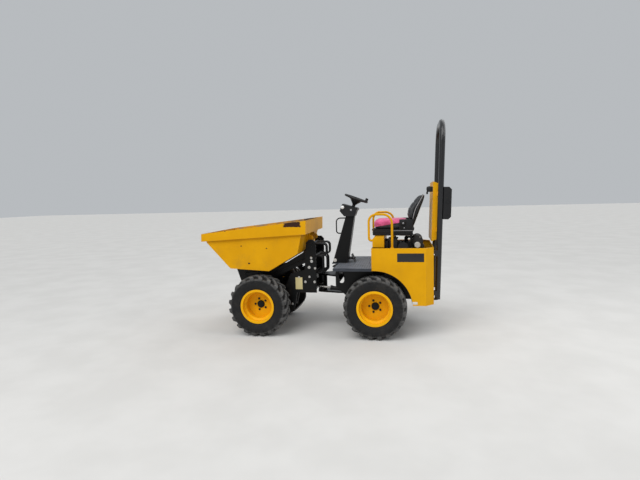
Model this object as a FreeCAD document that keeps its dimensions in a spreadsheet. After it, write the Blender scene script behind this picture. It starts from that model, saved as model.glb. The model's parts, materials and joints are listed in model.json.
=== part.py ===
import FreeCAD, Part
import math
import os
import re

import Sketcher

# An articulated high-tip site dumper. Millimetres, X forward, Y to the driver's left, Z up,
# with the origin on the ground under the middle of the machine.

# Driving dimensions: alias, value. Lengths are in mm and angles in degrees.
SIZES = (
    # Stance
    ("track", 1000),
    ("frontAxleX", 812),
    ("rearAxleX", -638),
    ("pivotX", 87),
    ("plateT", 12),
    ("sheetT", 4),
    ("seatGap", 0.3),
    ("runGap", 0.05),
    ("rodGap", 0.1),
    # Wheels
    ("tyreRadius", 380),
    ("tyreHalfWidth", 132),
    ("treadHalfWidth", 124),
    ("treadRadius", 352),
    ("lugCount", 20),
    ("lugTop", 375),
    ("lugRoot", 12),
    ("lugLead", 32),
    ("lugWidth", 28),
    ("lugGap", 4),
    ("lugEnd", 2),
    ("bulgeRadius", 290),
    ("casingT", 24),
    ("beadHeight", 22),
    ("beadSlope", 6),
    ("flangeHalfWidth", 118),
    ("flangeRadius", 215),
    ("seatRadius", 196),
    ("wellRadius", 172),
    ("wellOuterY", 44),
    ("wellInnerY", -60),
    ("wellSlope", 16),
    ("rimT", 8),
    ("discOuterY", -44),
    ("discT", 12),
    ("discBore", 47),
    ("studCircle", 73),
    ("studHole", 9),
    ("studRadius", 8),
    ("studCount", 5),
    ("nutRadius", 13),
    ("nutHeight", 14),
    ("studStand", 4),
    ("hubFlange", 98),
    ("hubFlangeT", 14),
    ("hubSpigotY", -26),
    ("hubBarrel", 58),
    ("hubBarrelY", -124),
    ("hubCapT", 10),
    ("hubChamfer", 6),
    ("spindleRadius", 25),
    ("spindleGap", 4),
    ("axleRadius", 52),
    ("axleHeadRadius", 92),
    ("axleHeadWidth", 190),
    ("axlePadX", 60),
    ("axlePadHalf", 40),
    # Lift linkage on the tower
    ("liftPinX", 185),
    ("liftPinZ", 1116),
    ("linkPinX", 145),
    ("linkPinZ", 960),
    ("reachX", 900),
    ("dropZ", 416),
    ("armBendOneX", 270),
    ("armBendOneZ", 981),
    ("armBendTwoX", 640),
    ("armBendTwoZ", 766),
    ("armHalf", 38),
    ("armBoss", 44),
    ("armY", 215),
    ("armT", 25),
    ("linkY", 250),
    ("linkT", 20),
    ("linkHalf", 24),
    ("linkBoss", 36),
    ("linkPinRadius", 20),
    ("collarRadius", 30),
    ("collarGap", 0.5),
    ("armTubeX", 450),
    ("armTubeZ", 842),
    ("armTubeRadius", 32),
    ("eyeRadius", 28),
    ("eyeHalf", 20),
    ("eyeGap", 5),
    ("lugT", 12),
    ("lugRim", 4),
    ("headT", 6),
    # Lift ram
    ("liftBaseX", 480),
    ("liftBaseZ", 290),
    ("liftEyeX", 380),
    ("liftEyeZ", 780),
    ("ramPin", 18),
    ("ramNeck", 8),
    ("capT", 12),
    ("strokeGap", 6),
    ("glandRim", 5),
    ("glandLength", 30),
    ("liftBarrelRadius", 36),
    ("liftRodRadius", 18),
    ("liftBarrelLength", 400),
    # Cradle and tip rams
    ("cradleY", 185),
    ("tipPinX", 1175),
    ("tipPinZ", 805),
    ("tipPinRadius", 18),
    ("tipBoss", 33),
    ("tipLugY", 168),
    ("tipLugT", 14),
    ("tipRamY", 110),
    ("tipBaseX", 740),
    ("tipBaseZ", 520),
    ("tipEyeX", 1040),
    ("tipEyeZ", 795),
    ("tipBarrelRadius", 30),
    ("tipRodRadius", 16),
    ("tipBarrelLength", 290),
    ("cradleHeelX", 700),
    ("cradleHeelZ", 480),
    ("cradleBackZ", 700),
    ("cradleTopX", 790),
    ("cradleTopZ", 800),
    ("cradleNoseX", 1219),
    ("cradleNoseZ", 782),
    ("cradleToeX", 1160),
    ("cradleToeZ", 604),
    ("cradleSoleZ", 498),
    ("cradleTubeX", 1116),
    ("cradleTubeZ", 640),
    ("cradleTubeRadius", 28),
    # Skip
    ("skipHalf", 530),
    ("rimHalf", 560),
    ("skipT", 6),
    ("skipFrontX", 1478),
    ("skipFrontZ", 1174),
    ("skipToeX", 1176),
    ("skipToeZ", 846),
    ("skipHeelX", 668),
    ("skipHeelZ", 814),
    ("skipBackX", 298),
    ("skipBackZ", 1029),
    ("skipRearX", 243),
    ("skipRearZ", 1266),
    ("rimFrontX", 1540),
    ("rimFrontLowZ", 1192),
    ("rimFrontTopZ", 1288),
    ("rimRearX", 177),
    ("rimRearLowZ", 1270),
    ("rimRearTopZ", 1438),
    ("rearLugX", 208),
    ("rearLugZ", 1192),
    ("rearLugRadius", 36),
    ("rearLugY", 140),
    ("rearLugPin", 15),
    # Front frame
    ("sideY", 290),
    ("towerRearX", 115),
    ("towerFrontX", 240),
    ("towerTopZ", 1182),
    ("towerCorner", 36),
    ("towerFlareX", 26),
    ("towerFlareZ", 50),
    ("frameFrontX", 990),
    ("noseCorner", 40),
    ("frameTopZ", 745),
    ("frameStepX", 452),
    ("frameStepRun", 70),
    ("frameDeckZ", 590),
    ("frameLowZ", 432),
    ("frameNoseZ", 500),
    ("frameHeelZ", 500),
    ("frameKneeX", 372),
    ("frameToeX", 600),
    ("frameToeZ", 250),
    ("bulkOneX", 160),
    ("bulkTwoX", 292),
    ("bulkLowZ", 500),
    ("bulkTopZ", 754),
    ("noseTubeX", 950),
    ("noseTubeZ", 452),
    ("noseTubeRadius", 24),
    ("baseCrossX", 62),
    ("baseT", 10),
    ("hoseRadius", 11),
    ("hoseBend", 44),
    ("hoseOuterY", 184),
    ("hoseInnerY", 64),
    ("hoseHighX", 4),
    ("hosePitch", 28),
    ("hoseMidX", 14),
    ("hoseSideX", 46),
    ("hoseLowZ", 740),
    # Pivot
    ("shaftZ", 585),
    ("shaftRadius", 42),
    ("shaftBush", 60),
    ("shaftEndX", 330),
    ("shaftCapT", 12),
    ("pivotBoss", 58),
    ("pivotPin", 22),
    ("forkNose", 64),
    ("forkTopZ", 690),
    ("forkLowZ", 480),
    ("forkT", 20),
    ("forkGap", 5),
    ("forkRearHalf", 200),
    ("forkLowHalf", 120),
    # Steering ram
    ("steerArmX", 92),
    ("steerRamY", 170),
    ("steerEyeZ", 560),
    ("steerBaseX", -330),
    ("steerBaseZ", 508),
    ("steerNeck", 8),
    ("steerShoulder", 6),
    ("steerEyeHalf", 12),
    ("steerRodEye", 20),
    ("steerRodEyeHalf", 10),
    ("steerBaseGap", 14),
    ("steerBarrelRadius", 26),
    ("steerRodRadius", 14),
    ("steerBarrelLength", 290),
    ("steerRodStart", 134),
    ("steerEyeRadius", 24),
    ("steerPin", 12),
    ("steerLugGap", 26),
    ("steerLugHalf", 22),
    # Rear frame
    ("deckFrontX", -141),
    ("bodyFrontX", -604),
    ("bodySideX", -1235),
    ("bodyRearX", -1328),
    ("bodyHalf", 550),
    ("bodyRearHalf", 450),
    ("bodyTopZ", 1094),
    ("bodyLowZ", 415),
    ("bodyRearLowZ", 440),
    ("slotLowZ", 790),
    ("slotPitch", 34),
    ("slotHeight", 14),
    ("slotHalf", 75),
    ("slotStepY", 180),
    ("archRadius", 445),
    ("linerT", 4),
    ("linerFoot", 20),
    ("linerFront", 8),
    ("bodyFlange", 24),
    ("mitre", 0.4),
    ("railY", 280),
    ("chassisHalf", 350),
    ("railLowZ", 450),
    ("railTopZ", 490),
    ("railRearX", -1310),
    ("railFrontX", -300),
    ("crossFrontX", -340),
    ("crossWidth", 45),
    ("crossInset", 18),
    ("cheekLowZ", 600),
    ("cheekRearZ", 700),
    ("portX", -215),
    ("portHalfX", 32),
    ("portLowZ", 670),
    ("portTopZ", 775),
    ("deckTopZ", 855),
    ("deckT", 5),
    ("deckHalf", 560),
    ("deckLip", 34),
    ("engineFrontX", -740),
    ("engineRearX", -1190),
    ("engineHalf", 190),
    ("engineTopZ", 1000),
    # Engine top
    ("coverFrontX", -800),
    ("coverRearX", -1060),
    ("coverHalf", 105),
    ("coverTopZ", 1120),
    ("filterX", -1152),
    ("filterZ", 1144),
    ("filterRadius", 62),
    ("filterHalf", 170),
    ("capRim", 5),
    ("capWidth", 34),
    ("ductY", -60),
    ("ductZ", 1184),
    ("ductRadius", 24),
    ("ductBend", 30),
    ("pulleyX", -972),
    ("pulleyZ", 1069),
    ("pulleyRadius", 62),
    ("pulleyShaft", 22),
    ("pulleyT", 28),
    ("pulleyGroove", 9),
    # Seat box, mount and seat
    ("boxRearX", -749),
    ("boxHeight", 124),
    ("boxLead", 7),
    ("boxHalf", 425),
    ("boxChamfer", 26),
    ("mountRearX", -1100),
    ("mountHalf", 225),
    ("mountT", 6),
    ("mountInset", 40),
    ("mountBarX", -1064),
    ("mountBarT", 20),
    ("seatBaseFrontX", -606),
    ("seatBaseRearX", -1091),
    ("seatBaseT", 76),
    ("seatBaseStep", 12),
    ("seatBaseRearT", 30),
    ("seatHalf", 235),
    ("cushionFrontX", -620),
    ("cushionRearX", -1035.7),
    ("cushionT", 120),
    ("cushionLip", 6),
    ("cushionNose", 20),
    ("backFootX", -1036),
    ("backTopFrontX", -1200),
    ("backRearX", -1101),
    ("backTopRearX", -1246),
    ("backHalf", 225),
    ("backKneeRise", 250),
    ("backRise", 427),
    ("backRearRise", 396),
    ("backHollow", 6),
    # Hip guards
    ("hoopRadius", 14),
    ("hoopY", 400),
    ("hoopFrontX", -569),
    ("hoopRearX", -846),
    ("hoopTopZ", 1490),
    ("hoopBend", 34),
    ("strapHalf", 20),
    ("strapT", 6),
    ("hoopLowZ", 1176),
    # Column, dash and steering wheel
    ("columnFrontX", -66),
    ("columnRearX", -261),
    ("columnHalf", 92),
    ("tongueRim", 8),
    ("columnTopZ", 1462),
    ("columnTopFrontX", -247),
    ("columnTopRearX", -358),
    ("columnTopHalf", 74),
    ("dashNoseX", -173),
    ("dashNoseZ", 1530),
    ("dashPeakX", -208),
    ("dashPeakZ", 1621),
    ("dashRearX", -403),
    ("dashRearZ", 1563),
    ("dashHalf", 105),
    ("dashLap", 8),
    ("wheelTilt", 21),
    ("wheelX", -380),
    ("wheelZ", 1686),
    ("wheelRadius", 146),
    ("wheelGrip", 13),
    ("wheelHub", 46),
    ("wheelNeck", 18),
    ("wheelHubDrop", 22),
    ("wheelDish", 98),
    ("spokeWidth", 26),
    ("spokeT", 8),
    ("spokeRise", 7),
    ("knobRadius", 18),
    ("knobHeight", 40),
    ("stubHeight", 40),
    ("stubRim", 4),
    ("handleRadius", 8),
    ("handleBend", 28),
    ("handleTopZ", 1435),
    ("handleLowZ", 1235),
    ("handleX", -112),
    ("pedalX", -352),
    ("pedalZ", 866),
    ("pedalHeight", 96),
    ("pedalLean", 44),
    ("pedalT", 8),
    ("pedalY", 48),
    ("pedalHalf", 30),
    ("pedalArm", 7),
    # Roll bar, guard and lamp box
    ("ropsLean", 1.8),
    ("ropsX", -1375),
    ("ropsLowZ", 459),
    ("ropsHeight", 2152),
    ("ropsHalf", 360),
    ("ropsRadius", 33),
    ("ropsBend", 240),
    ("footLowZ", 490),
    ("footTopZ", 980),
    ("footHeight", 70),
    ("guardLowZ", 690),
    ("guardTopZ", 1404),
    ("guardFrontX", 88),
    ("guardRearX", 12),
    ("guardHalf", 326.5),
    ("guardDrop", 26),
    ("guardRise", 36),
    ("tabT", 8),
    ("tabReach", 20),
    ("tabHeight", 50),
    ("tabInset", 120),
    ("lampLowZ", 960),
    ("lampTopZ", 1340),
    ("lampDepth", 90),
    ("lampHalf", 385),
    ("lampCorner", 30),
    ("lampRadius", 17),
    ("lampProud", 8),
    ("lampOneZ", 1165),
    ("lampTwoZ", 1030),
    # Tow jaw and front lashing eye
    ("towX", -1372),
    ("towZ", 402),
    ("towRadius", 13),
    ("towGap", 40),
    ("towHalf", 38),
    ("lashX", 964),
    ("lashZ", 385),
    ("lashRadius", 20),
    ("lashEye", 40),
    ("lashHalf", 9),
)

NAMES = {name for name, value in SIZES}
WORD = re.compile(r"[A-Za-z_]\w*")
Vector = FreeCAD.Vector
Rotation = FreeCAD.Rotation
Placement = FreeCAD.Placement

doc = FreeCAD.newDocument("SiteDumper")
sheet = doc.addObject("Spreadsheet::Sheet", "Sizes")
for row, (alias, value) in enumerate(SIZES, 1):
    sheet.set("A%d" % row, alias)
    sheet.set("B%d" % row, str(value))
    sheet.setAlias("B%d" % row, alias)
doc.recompute()

# Turns that lay a flat sketch, or a cylinder's axis, into each of the three planes.
UPRIGHT = Rotation()
ALONG_X = Rotation(Vector(0, 1, 0), 90)
ALONG_Y = Rotation(Vector(1, 0, 0), -90)
PLANES = {
    "XY": ("XY_Plane", 1),
    "XZ": ("XZ_Plane", -1),
    "YZ": ("YZ_Plane", 1),
}


def ref(formula):
    """A formula in which each size's name points at its cell."""
    return WORD.sub(lambda m: "Sizes." + m.group() if m.group() in NAMES else m.group(), str(formula))


def size(formula):
    """The value that a formula has now."""
    return float(sheet.evalExpression(ref(formula)))


def bind(item, path, formula):
    item.setExpression(path, ref(formula))


def place(item, x=0, y=0, z=0, turn=UPRIGHT):
    item.Placement = Placement(Vector(size(x), size(y), size(z)), turn)
    bind(item, "Placement.Base.x", x)
    bind(item, "Placement.Base.y", y)
    bind(item, "Placement.Base.z", z)
    return item


def box(x, y, z):
    """A block between two values along each axis, each pair given low first."""
    item = doc.addObject("Part::Box", "Block")
    for side, (low, high) in zip(("Length", "Width", "Height"), (x, y, z)):
        bind(item, side, "(%s) - (%s)" % (high, low))
    return place(item, x[0], y[0], z[0])


def rod(centre, radius, length, turn):
    """A cylinder whose middle is at the centre given."""
    item = doc.addObject("Part::Cylinder", "Rod")
    bind(item, "Radius", radius)
    bind(item, "Height", length)
    axis = turn.multVec(Vector(0, 0, 1))
    shift = ["(%s) - (%s) * %g" % (c, length, a / 2) for c, a in zip(centre, axis)]
    return place(item, shift[0], shift[1], shift[2], turn)


def cross_rod(x, z, radius, low, high):
    """A cylinder along Y between two values of Y."""
    middle = "((%s) + (%s)) / 2" % (low, high)
    return rod((x, middle, z), radius, "(%s) - (%s)" % (high, low), ALONG_Y)


def fill_sketch(sketch, outline, circles=()):
    """Lines round the outline and circles, with every place bound to its formula."""
    spots = [Vector(size(u), size(v), 0) for u, v in outline]
    count = len(spots)
    for i in range(count):
        sketch.addGeometry(Part.LineSegment(spots[i], spots[(i + 1) % count]))
    for i in range(count):
        sketch.addConstraint(Sketcher.Constraint("Coincident", i, 2, (i + 1) % count, 1))
    for i, (u, v) in enumerate(outline):
        dimension(sketch, "DistanceX", (i, 1), u)
        dimension(sketch, "DistanceY", (i, 1), v)
    for i, (u, v, radius) in enumerate(circles, count):
        sketch.addGeometry(Part.Circle(Vector(size(u), size(v), 0), Vector(0, 0, 1), size(radius)))
        dimension(sketch, "DistanceX", (i, 3), u)
        dimension(sketch, "DistanceY", (i, 3), v)
        dimension(sketch, "Radius", (i,), radius)


def dimension(sketch, kind, spot, formula):
    number = sketch.addConstraint(Sketcher.Constraint(kind, *spot, size(formula)))
    bind(sketch, "Constraints[%d]" % number, formula)


def slab(plane, outline, low, high, circles=()):
    """An outline in a plane, made solid between two values of the third axis."""
    sketch = doc.addObject("Sketcher::SketchObject", "Outline")
    fill_sketch(sketch, outline, circles)
    if plane == "XZ":
        place(sketch, 0, high, 0, Rotation(Vector(1, 0, 0), 90))
    elif plane == "XY":
        place(sketch, 0, 0, low)
    else:
        place(sketch, low, 0, 0, Rotation(Vector(1, 1, 1), 120))
    item = doc.addObject("Part::Extrusion", "Slab")
    item.Base = sketch
    item.DirMode = "Normal"
    item.Solid = True
    bind(item, "LengthFwd", "(%s) - (%s)" % (high, low))
    return item


def limb(ends, half, low, high):
    """A straight bar in the XZ plane with round ends, between two values of Y."""
    (ax, az), (bx, bz) = ends
    run_x = "((%s) - (%s))" % (bx, ax)
    run_z = "((%s) - (%s))" % (bz, az)
    span = "sqrt(%s ^ 2 + %s ^ 2)" % (run_x, run_z)
    side_x = "%s * (%s) / %s" % (run_z, half, span)
    side_z = "%s * (%s) / %s" % (run_x, half, span)
    outline = [("(%s) %s %s" % (x, sign_x, side_x), "(%s) %s %s" % (z, sign_z, side_z))
               for x, z, sign_x, sign_z in ((ax, az, "+", "-"), (bx, bz, "+", "-"),
                                            (bx, bz, "-", "+"), (ax, az, "-", "+"))]
    caps = [cross_rod(x, z, half, low, high) for x, z in ends]
    return [slab("XZ", outline, low, high)] + caps


def fuse(parts):
    if len(parts) == 1:
        return parts[0]
    item = doc.addObject("Part::MultiFuse", "Joined")
    item.Shapes = list(parts)
    item.Refine = True
    return item


def cut(base, tools):
    item = doc.addObject("Part::Cut", "Cut")
    item.Base = base
    item.Tool = fuse(tools)
    item.Refine = True
    return item


def mirrored(item):
    """The same piece on the other side of the machine."""
    other = doc.addObject("Part::Mirroring", "OtherSide")
    other.Source = item
    other.Normal = Vector(0, 1, 0)
    return other


def both(parts):
    """Pieces and their mirror images."""
    return list(parts) + [mirrored(item) for item in parts]


def group(parts):
    """Like pieces of one body that don't touch."""
    item = doc.addObject("Part::Compound", "Pair")
    item.Links = list(parts)
    return item


def tube(route, radius, bend, label="Tube"):
    """A round bar swept along straight runs with rounded corners."""
    spots = [Vector(*[size(value) for value in spot]) for spot in route]
    item = doc.addObject("Part::Feature", label)
    item.Shape = swept(spots, size(radius), size(bend))
    return item


def rounded_path(spots, bend):
    """Straight runs joined by arcs tangent to them."""
    edges = []
    start = spots[0]
    for before, corner, after in zip(spots, spots[1:], spots[2:]):
        back = (before - corner).normalize()
        ahead = (after - corner).normalize()
        half = back.getAngle(ahead) / 2
        reach = bend / math.tan(half)
        first = corner + back * reach
        last = corner + ahead * reach
        inward = (back + ahead).normalize()
        middle = corner + inward * (bend / math.sin(half) - bend)
        if (first - start).Length > 0.001:
            edges.append(Part.LineSegment(start, first).toShape())
        edges.append(Part.Arc(first, middle, last).toShape())
        start = last
    edges.append(Part.LineSegment(start, spots[-1]).toShape())
    return Part.Wire(edges)


def swept(spots, radius, bend):
    path = rounded_path(spots, bend)
    ahead = spots[1] - spots[0]
    ring = Part.Wire([Part.makeCircle(radius, spots[0], ahead)])
    return path.makePipeShell([ring], True, False)


# PartDesign bodies


def new_body(name):
    return doc.addObject("PartDesign::Body", name)


def body_sketch(body, plane, offset, outline, circles=()):
    """A sketch on one of the body's own planes, moved along that plane's axis."""
    role, sign = PLANES[plane]
    sketch = body.newObject("Sketcher::SketchObject", "Profile")
    origin = next(item for item in body.Origin.OriginFeatures if item.Role == role)
    sketch.AttachmentSupport = [(origin, "")]
    sketch.MapMode = "FlatFace"
    bind(sketch, "AttachmentOffset.Base.z", "(%s) * %d" % (offset, sign))
    fill_sketch(sketch, outline, circles)
    return sketch


def pad(body, plane, outline, low, high, circles=()):
    """Adds the outline between two values of the plane's third axis."""
    start = high if PLANES[plane][1] < 0 else low
    item = body.newObject("PartDesign::Pad", "Pad")
    item.Profile = body_sketch(body, plane, start, outline, circles)
    bind(item, "Length", "(%s) - (%s)" % (high, low))
    return item


def pocket(body, plane, outline, low, high, circles=()):
    """Takes the outline away between two values of the plane's third axis."""
    start = low if PLANES[plane][1] < 0 else high
    item = body.newObject("PartDesign::Pocket", "Pocket")
    item.Profile = body_sketch(body, plane, start, outline, circles)
    bind(item, "Length", "(%s) - (%s)" % (high, low))
    return item


def revolve(body, outline):
    """Turns a profile of (Y, radius) points about the Y axis."""
    item = body.newObject("PartDesign::Revolution", "Revolution")
    sketch = body_sketch(body, "YZ", 0, outline)
    item.Profile = sketch
    item.ReferenceAxis = (sketch, ["H_Axis"])
    item.Angle = 360
    return item


def ring_of(body, feature, count):
    """Repeats a feature round the Y axis."""
    item = body.newObject("PartDesign::PolarPattern", "Ring")
    item.Originals = [feature]
    axis = next(line for line in body.Origin.OriginFeatures if line.Role == "Y_Axis")
    item.Axis = (axis, [""])
    item.Angle = 360
    bind(item, "Occurrences", count)
    body.Tip = item
    return item


SUBPARTS = []


def name_part(label, item):
    item.Label = label
    SUBPARTS.append(item)
    return item


# Wheels: the same tyre, rim and hub at the four corners, turned round on the right.

CORNERS = (
    # name, X of the axle, side
    ("front_left", "frontAxleX", 1),
    ("front_right", "frontAxleX", -1),
    ("rear_left", "rearAxleX", 1),
    ("rear_right", "rearAxleX", -1),
)


def tyre(name, side):
    """Casing and two rings of lugs, whose middle ends lead as the wheel rolls forward."""
    body = new_body(name)
    bead = "seatRadius + seatGap"
    outer = (
        ("flangeHalfWidth - rimT - seatGap", bead),
        ("flangeHalfWidth - rimT - seatGap", "flangeRadius + beadHeight / 5"),
        ("tyreHalfWidth - beadSlope", "flangeRadius + beadHeight"),
        ("tyreHalfWidth", "bulgeRadius"),
        ("treadHalfWidth", "treadRadius"),
    )
    inner = (
        ("treadHalfWidth - casingT", "treadRadius - casingT"),
        ("flangeHalfWidth - rimT - casingT", bead),
    )
    left = [("-(%s)" % y, r) for y, r in reversed(outer)]
    hollow = [("-(%s)" % y, r) for y, r in reversed(inner)]
    revolve(body, list(outer) + left + hollow + list(inner))
    lug = (("lugLead", "lugGap"), ("lugLead - lugWidth", "lugGap"),
           ("-lugLead - lugWidth", "treadHalfWidth - lugEnd"), ("-lugLead", "treadHalfWidth - lugEnd"))
    for edge in (1, -1):
        outline = [("(%s) * %d" % (x, side), "(%s) * %d" % (y, edge)) for x, y in lug]
        bar = pad(body, "XY", outline, "treadRadius - lugRoot", "lugTop")
        ring_of(body, bar, "lugCount")
    return body


def rim(name):
    body = new_body(name)
    revolve(body, (
        ("flangeHalfWidth", "flangeRadius"),
        ("flangeHalfWidth - rimT", "flangeRadius"),
        ("flangeHalfWidth - rimT", "seatRadius"),
        ("wellOuterY + wellSlope", "seatRadius"),
        ("wellOuterY", "wellRadius"),
        ("wellInnerY", "wellRadius"),
        ("wellInnerY - wellSlope", "seatRadius"),
        ("rimT - flangeHalfWidth", "seatRadius"),
        ("rimT - flangeHalfWidth", "flangeRadius"),
        ("-flangeHalfWidth", "flangeRadius"),
        ("-flangeHalfWidth", "seatRadius - rimT"),
        ("wellInnerY - wellSlope", "seatRadius - rimT"),
        ("wellInnerY", "wellRadius - rimT"),
        ("discOuterY - discT", "wellRadius - rimT"),
        ("discOuterY - discT", "discBore"),
        ("discOuterY", "discBore"),
        ("discOuterY", "wellRadius - rimT"),
        ("wellOuterY", "wellRadius - rimT"),
        ("wellOuterY + wellSlope", "seatRadius - rimT"),
        ("flangeHalfWidth", "seatRadius - rimT"),
    ))
    hole = pocket(body, "XZ", (), "discOuterY - discT - 1", "discOuterY + 1",
                  (("studCircle", 0, "studHole"),))
    ring_of(body, hole, "studCount")
    return body


def hub(name):
    body = new_body(name)
    face = "discOuterY - discT"
    revolve(body, (
        ("hubBarrelY", "spindleRadius + runGap"),
        ("hubSpigotY - hubCapT", "spindleRadius + runGap"),
        ("hubSpigotY - hubCapT", 0),
        ("hubSpigotY", 0),
        ("hubSpigotY", "discBore - hubChamfer"),
        ("hubSpigotY - hubChamfer", "discBore - rodGap * 2"),
        (face, "discBore - rodGap * 2"),
        (face, "hubFlange"),
        ("(%s) - hubFlangeT" % face, "hubFlange"),
        ("(%s) - hubFlangeT" % face, "hubBarrel"),
        ("hubBarrelY", "hubBarrel"),
    ))
    stud = pad(body, "XZ", (), face, "discOuterY + nutHeight", (("studCircle", 0, "studRadius"),))
    ring_of(body, stud, "studCount")
    nut = pad(body, "XZ", (), "discOuterY", "discOuterY + nutHeight - studStand",
              (("studCircle", 0, "nutRadius"),))
    ring_of(body, nut, "studCount")
    return body


for corner, axle_x, side in CORNERS:
    turn = UPRIGHT if side > 0 else Rotation(Vector(0, 0, 1), 180)
    for kind, piece in (("tyre_", tyre("tyre_" + corner, side)), ("rim_", rim("rim_" + corner)),
                        ("hub_", hub("hub_" + corner))):
        place(piece, axle_x, "track / 2 * %d" % side, "tyreRadius", turn)
        name_part(kind + corner, piece)


# Axles


def axle(x, pad_low_y, pad_high_y, pad_top):
    hub_end = "track / 2 + hubBarrelY - seatGap"
    spindle_end = "track / 2 + hubSpigotY - hubCapT - spindleGap"
    pads = both([box(("(%s) - axlePadX" % x, "(%s) + axlePadX" % x), (pad_low_y, pad_high_y),
                     ("tyreRadius", pad_top))])
    return fuse([cross_rod(x, "tyreRadius", "axleRadius", "-(%s)" % hub_end, hub_end),
                 cross_rod(x, "tyreRadius", "spindleRadius", "-(%s)" % spindle_end, spindle_end),
                 cross_rod(x, "tyreRadius", "axleHeadRadius", "-axleHeadWidth / 2",
                           "axleHeadWidth / 2")] + pads)


name_part("front_axle", axle("frontAxleX", "sideY - axlePadHalf", "sideY + plateT", "frameLowZ"))
name_part("rear_axle", axle("rearAxleX", "railY", "chassisHalf - plateT", "railLowZ"))


# Front frame: two side plates that rise into the tower, with bulkheads and cross tubes.


def front_chassis():
    outline = (
        ("towerRearX", "frameHeelZ"),
        ("towerRearX", "towerTopZ - towerCorner"),
        ("towerRearX + towerCorner", "towerTopZ"),
        ("towerFrontX - towerCorner", "towerTopZ"),
        ("towerFrontX", "towerTopZ - towerCorner"),
        ("towerFrontX + towerFlareX", "frameTopZ + towerFlareZ"),
        ("frameStepX", "frameTopZ"),
        ("frameStepX + frameStepRun", "frameDeckZ"),
        ("frameFrontX - noseCorner", "frameDeckZ"),
        ("frameFrontX", "frameNoseZ"),
        ("frameFrontX", "frameLowZ"),
        ("frameToeX", "frameLowZ"),
        ("liftBaseX + baseCrossX", "frameToeZ"),
        ("liftBaseX - baseCrossX", "frameToeZ"),
        ("frameKneeX", "frameHeelZ"),
    )
    side = slab("XZ", outline, "sideY", "sideY + plateT")
    parts = both([side])
    for x in ("bulkOneX", "bulkTwoX"):
        parts.append(box((x, "%s + plateT" % x), ("-sideY", "sideY"), ("bulkLowZ", "bulkTopZ")))
    parts.append(rod(("(bulkOneX + shaftEndX - shaftCapT * 1.5) / 2", 0, "shaftZ"), "shaftBush",
                     "shaftEndX - shaftCapT * 1.5 - bulkOneX", ALONG_X))
    parts.append(cross_rod("noseTubeX", "noseTubeZ", "noseTubeRadius", "-sideY", "sideY"))
    parts.append(box(("liftBaseX - baseCrossX", "liftBaseX + baseCrossX"), ("-sideY", "sideY"),
                     ("frameToeZ", "frameToeZ + baseT")))
    lug_low = "eyeHalf + eyeGap"
    lug = limb((("liftBaseX", "frameToeZ + baseT / 2"), ("liftBaseX", "liftBaseZ")), "eyeRadius + lugRim",
               lug_low, "%s + lugT" % lug_low)
    base_cut = box(("liftBaseX - baseCrossX", "liftBaseX + baseCrossX"), ("-sideY", "sideY"),
                   ("frameToeZ - baseCrossX", "frameToeZ"))
    parts += both([cut(fuse(lug), [base_cut])])
    parts.append(cross_rod("liftBaseX", "liftBaseZ", "ramPin", "-(%s + lugT)" % lug_low,
                           "%s + lugT" % lug_low))
    for x, z, layer in (("liftPinX", "liftPinZ", "armY + armT"), ("linkPinX", "linkPinZ", "linkY + linkT")):
        end = "sideY + plateT + headT"
        parts.append(cross_rod(x, z, "linkPinRadius", "-(%s)" % end, end))
        parts += both([cross_rod(x, z, "collarRadius", "%s + collarGap" % layer, end)])
    parts.append(slab("YZ", (("-lashEye", "lashZ"), ("lashEye", "lashZ"), ("lashEye", "noseTubeZ"),
                             ("-lashEye", "noseTubeZ")), "lashX - lashHalf", "lashX + lashHalf"))
    parts.append(rod(("lashX", 0, "lashZ"), "lashEye", "lashHalf * 2", ALONG_X))
    bore = rod(("(bulkOneX + shaftEndX) / 2", 0, "shaftZ"), "shaftRadius + runGap", "shaftEndX", ALONG_X)
    eye = rod(("lashX", 0, "lashZ"), "lashRadius", "lashHalf * 4", ALONG_X)
    return cut(fuse(parts), [bore, eye])


tower = name_part("front_chassis", front_chassis())


# Pivot: an upright pin joins it to the rear fork, a shaft along X carries the front frame.


def pivot_block():
    low = "forkLowZ + forkGap"
    high = "forkTopZ - forkGap"
    boss = rod(("pivotX", 0, "(%s + %s) / 2" % (low, high)), "pivotBoss", "%s - (%s)" % (high, low),
               UPRIGHT)
    shaft = rod(("(pivotX + shaftEndX) / 2", 0, "shaftZ"), "shaftRadius", "shaftEndX - pivotX", ALONG_X)
    shoulder_low = "(pivotX + pivotBoss - shaftCapT / 3)"
    shoulder_high = "(bulkOneX - shaftCapT / 4)"
    shoulder = rod(("(%s + %s) / 2" % (shoulder_low, shoulder_high), 0, "shaftZ"), "shaftBush",
                   "%s - %s" % (shoulder_high, shoulder_low), ALONG_X)
    cap = rod(("shaftEndX - shaftCapT / 2", 0, "shaftZ"), "shaftBush - lugRim", "shaftCapT", ALONG_X)
    arms = []
    for base in ("steerEyeZ + steerLugGap", "steerEyeZ - steerLugGap - lugT"):
        top = "%s + lugT" % base
        arms.append(slab("XY", (("pivotX - pivotBoss / 2", 0), ("pivotX + pivotBoss / 2", 0),
                                ("steerArmX + steerLugHalf", "steerRamY"),
                                ("steerArmX - steerLugHalf", "steerRamY")), base, top))
        arms.append(rod(("steerArmX", "steerRamY", "%s + lugT / 2" % base), "steerLugHalf", "lugT", UPRIGHT))
    bore = rod(("pivotX", 0, "(%s + %s) / 2" % (low, high)), "pivotPin + runGap", "forkTopZ", UPRIGHT)
    return cut(fuse([boss, shaft, shoulder, cap] + arms), [bore])


name_part("pivot_block", pivot_block())


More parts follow.
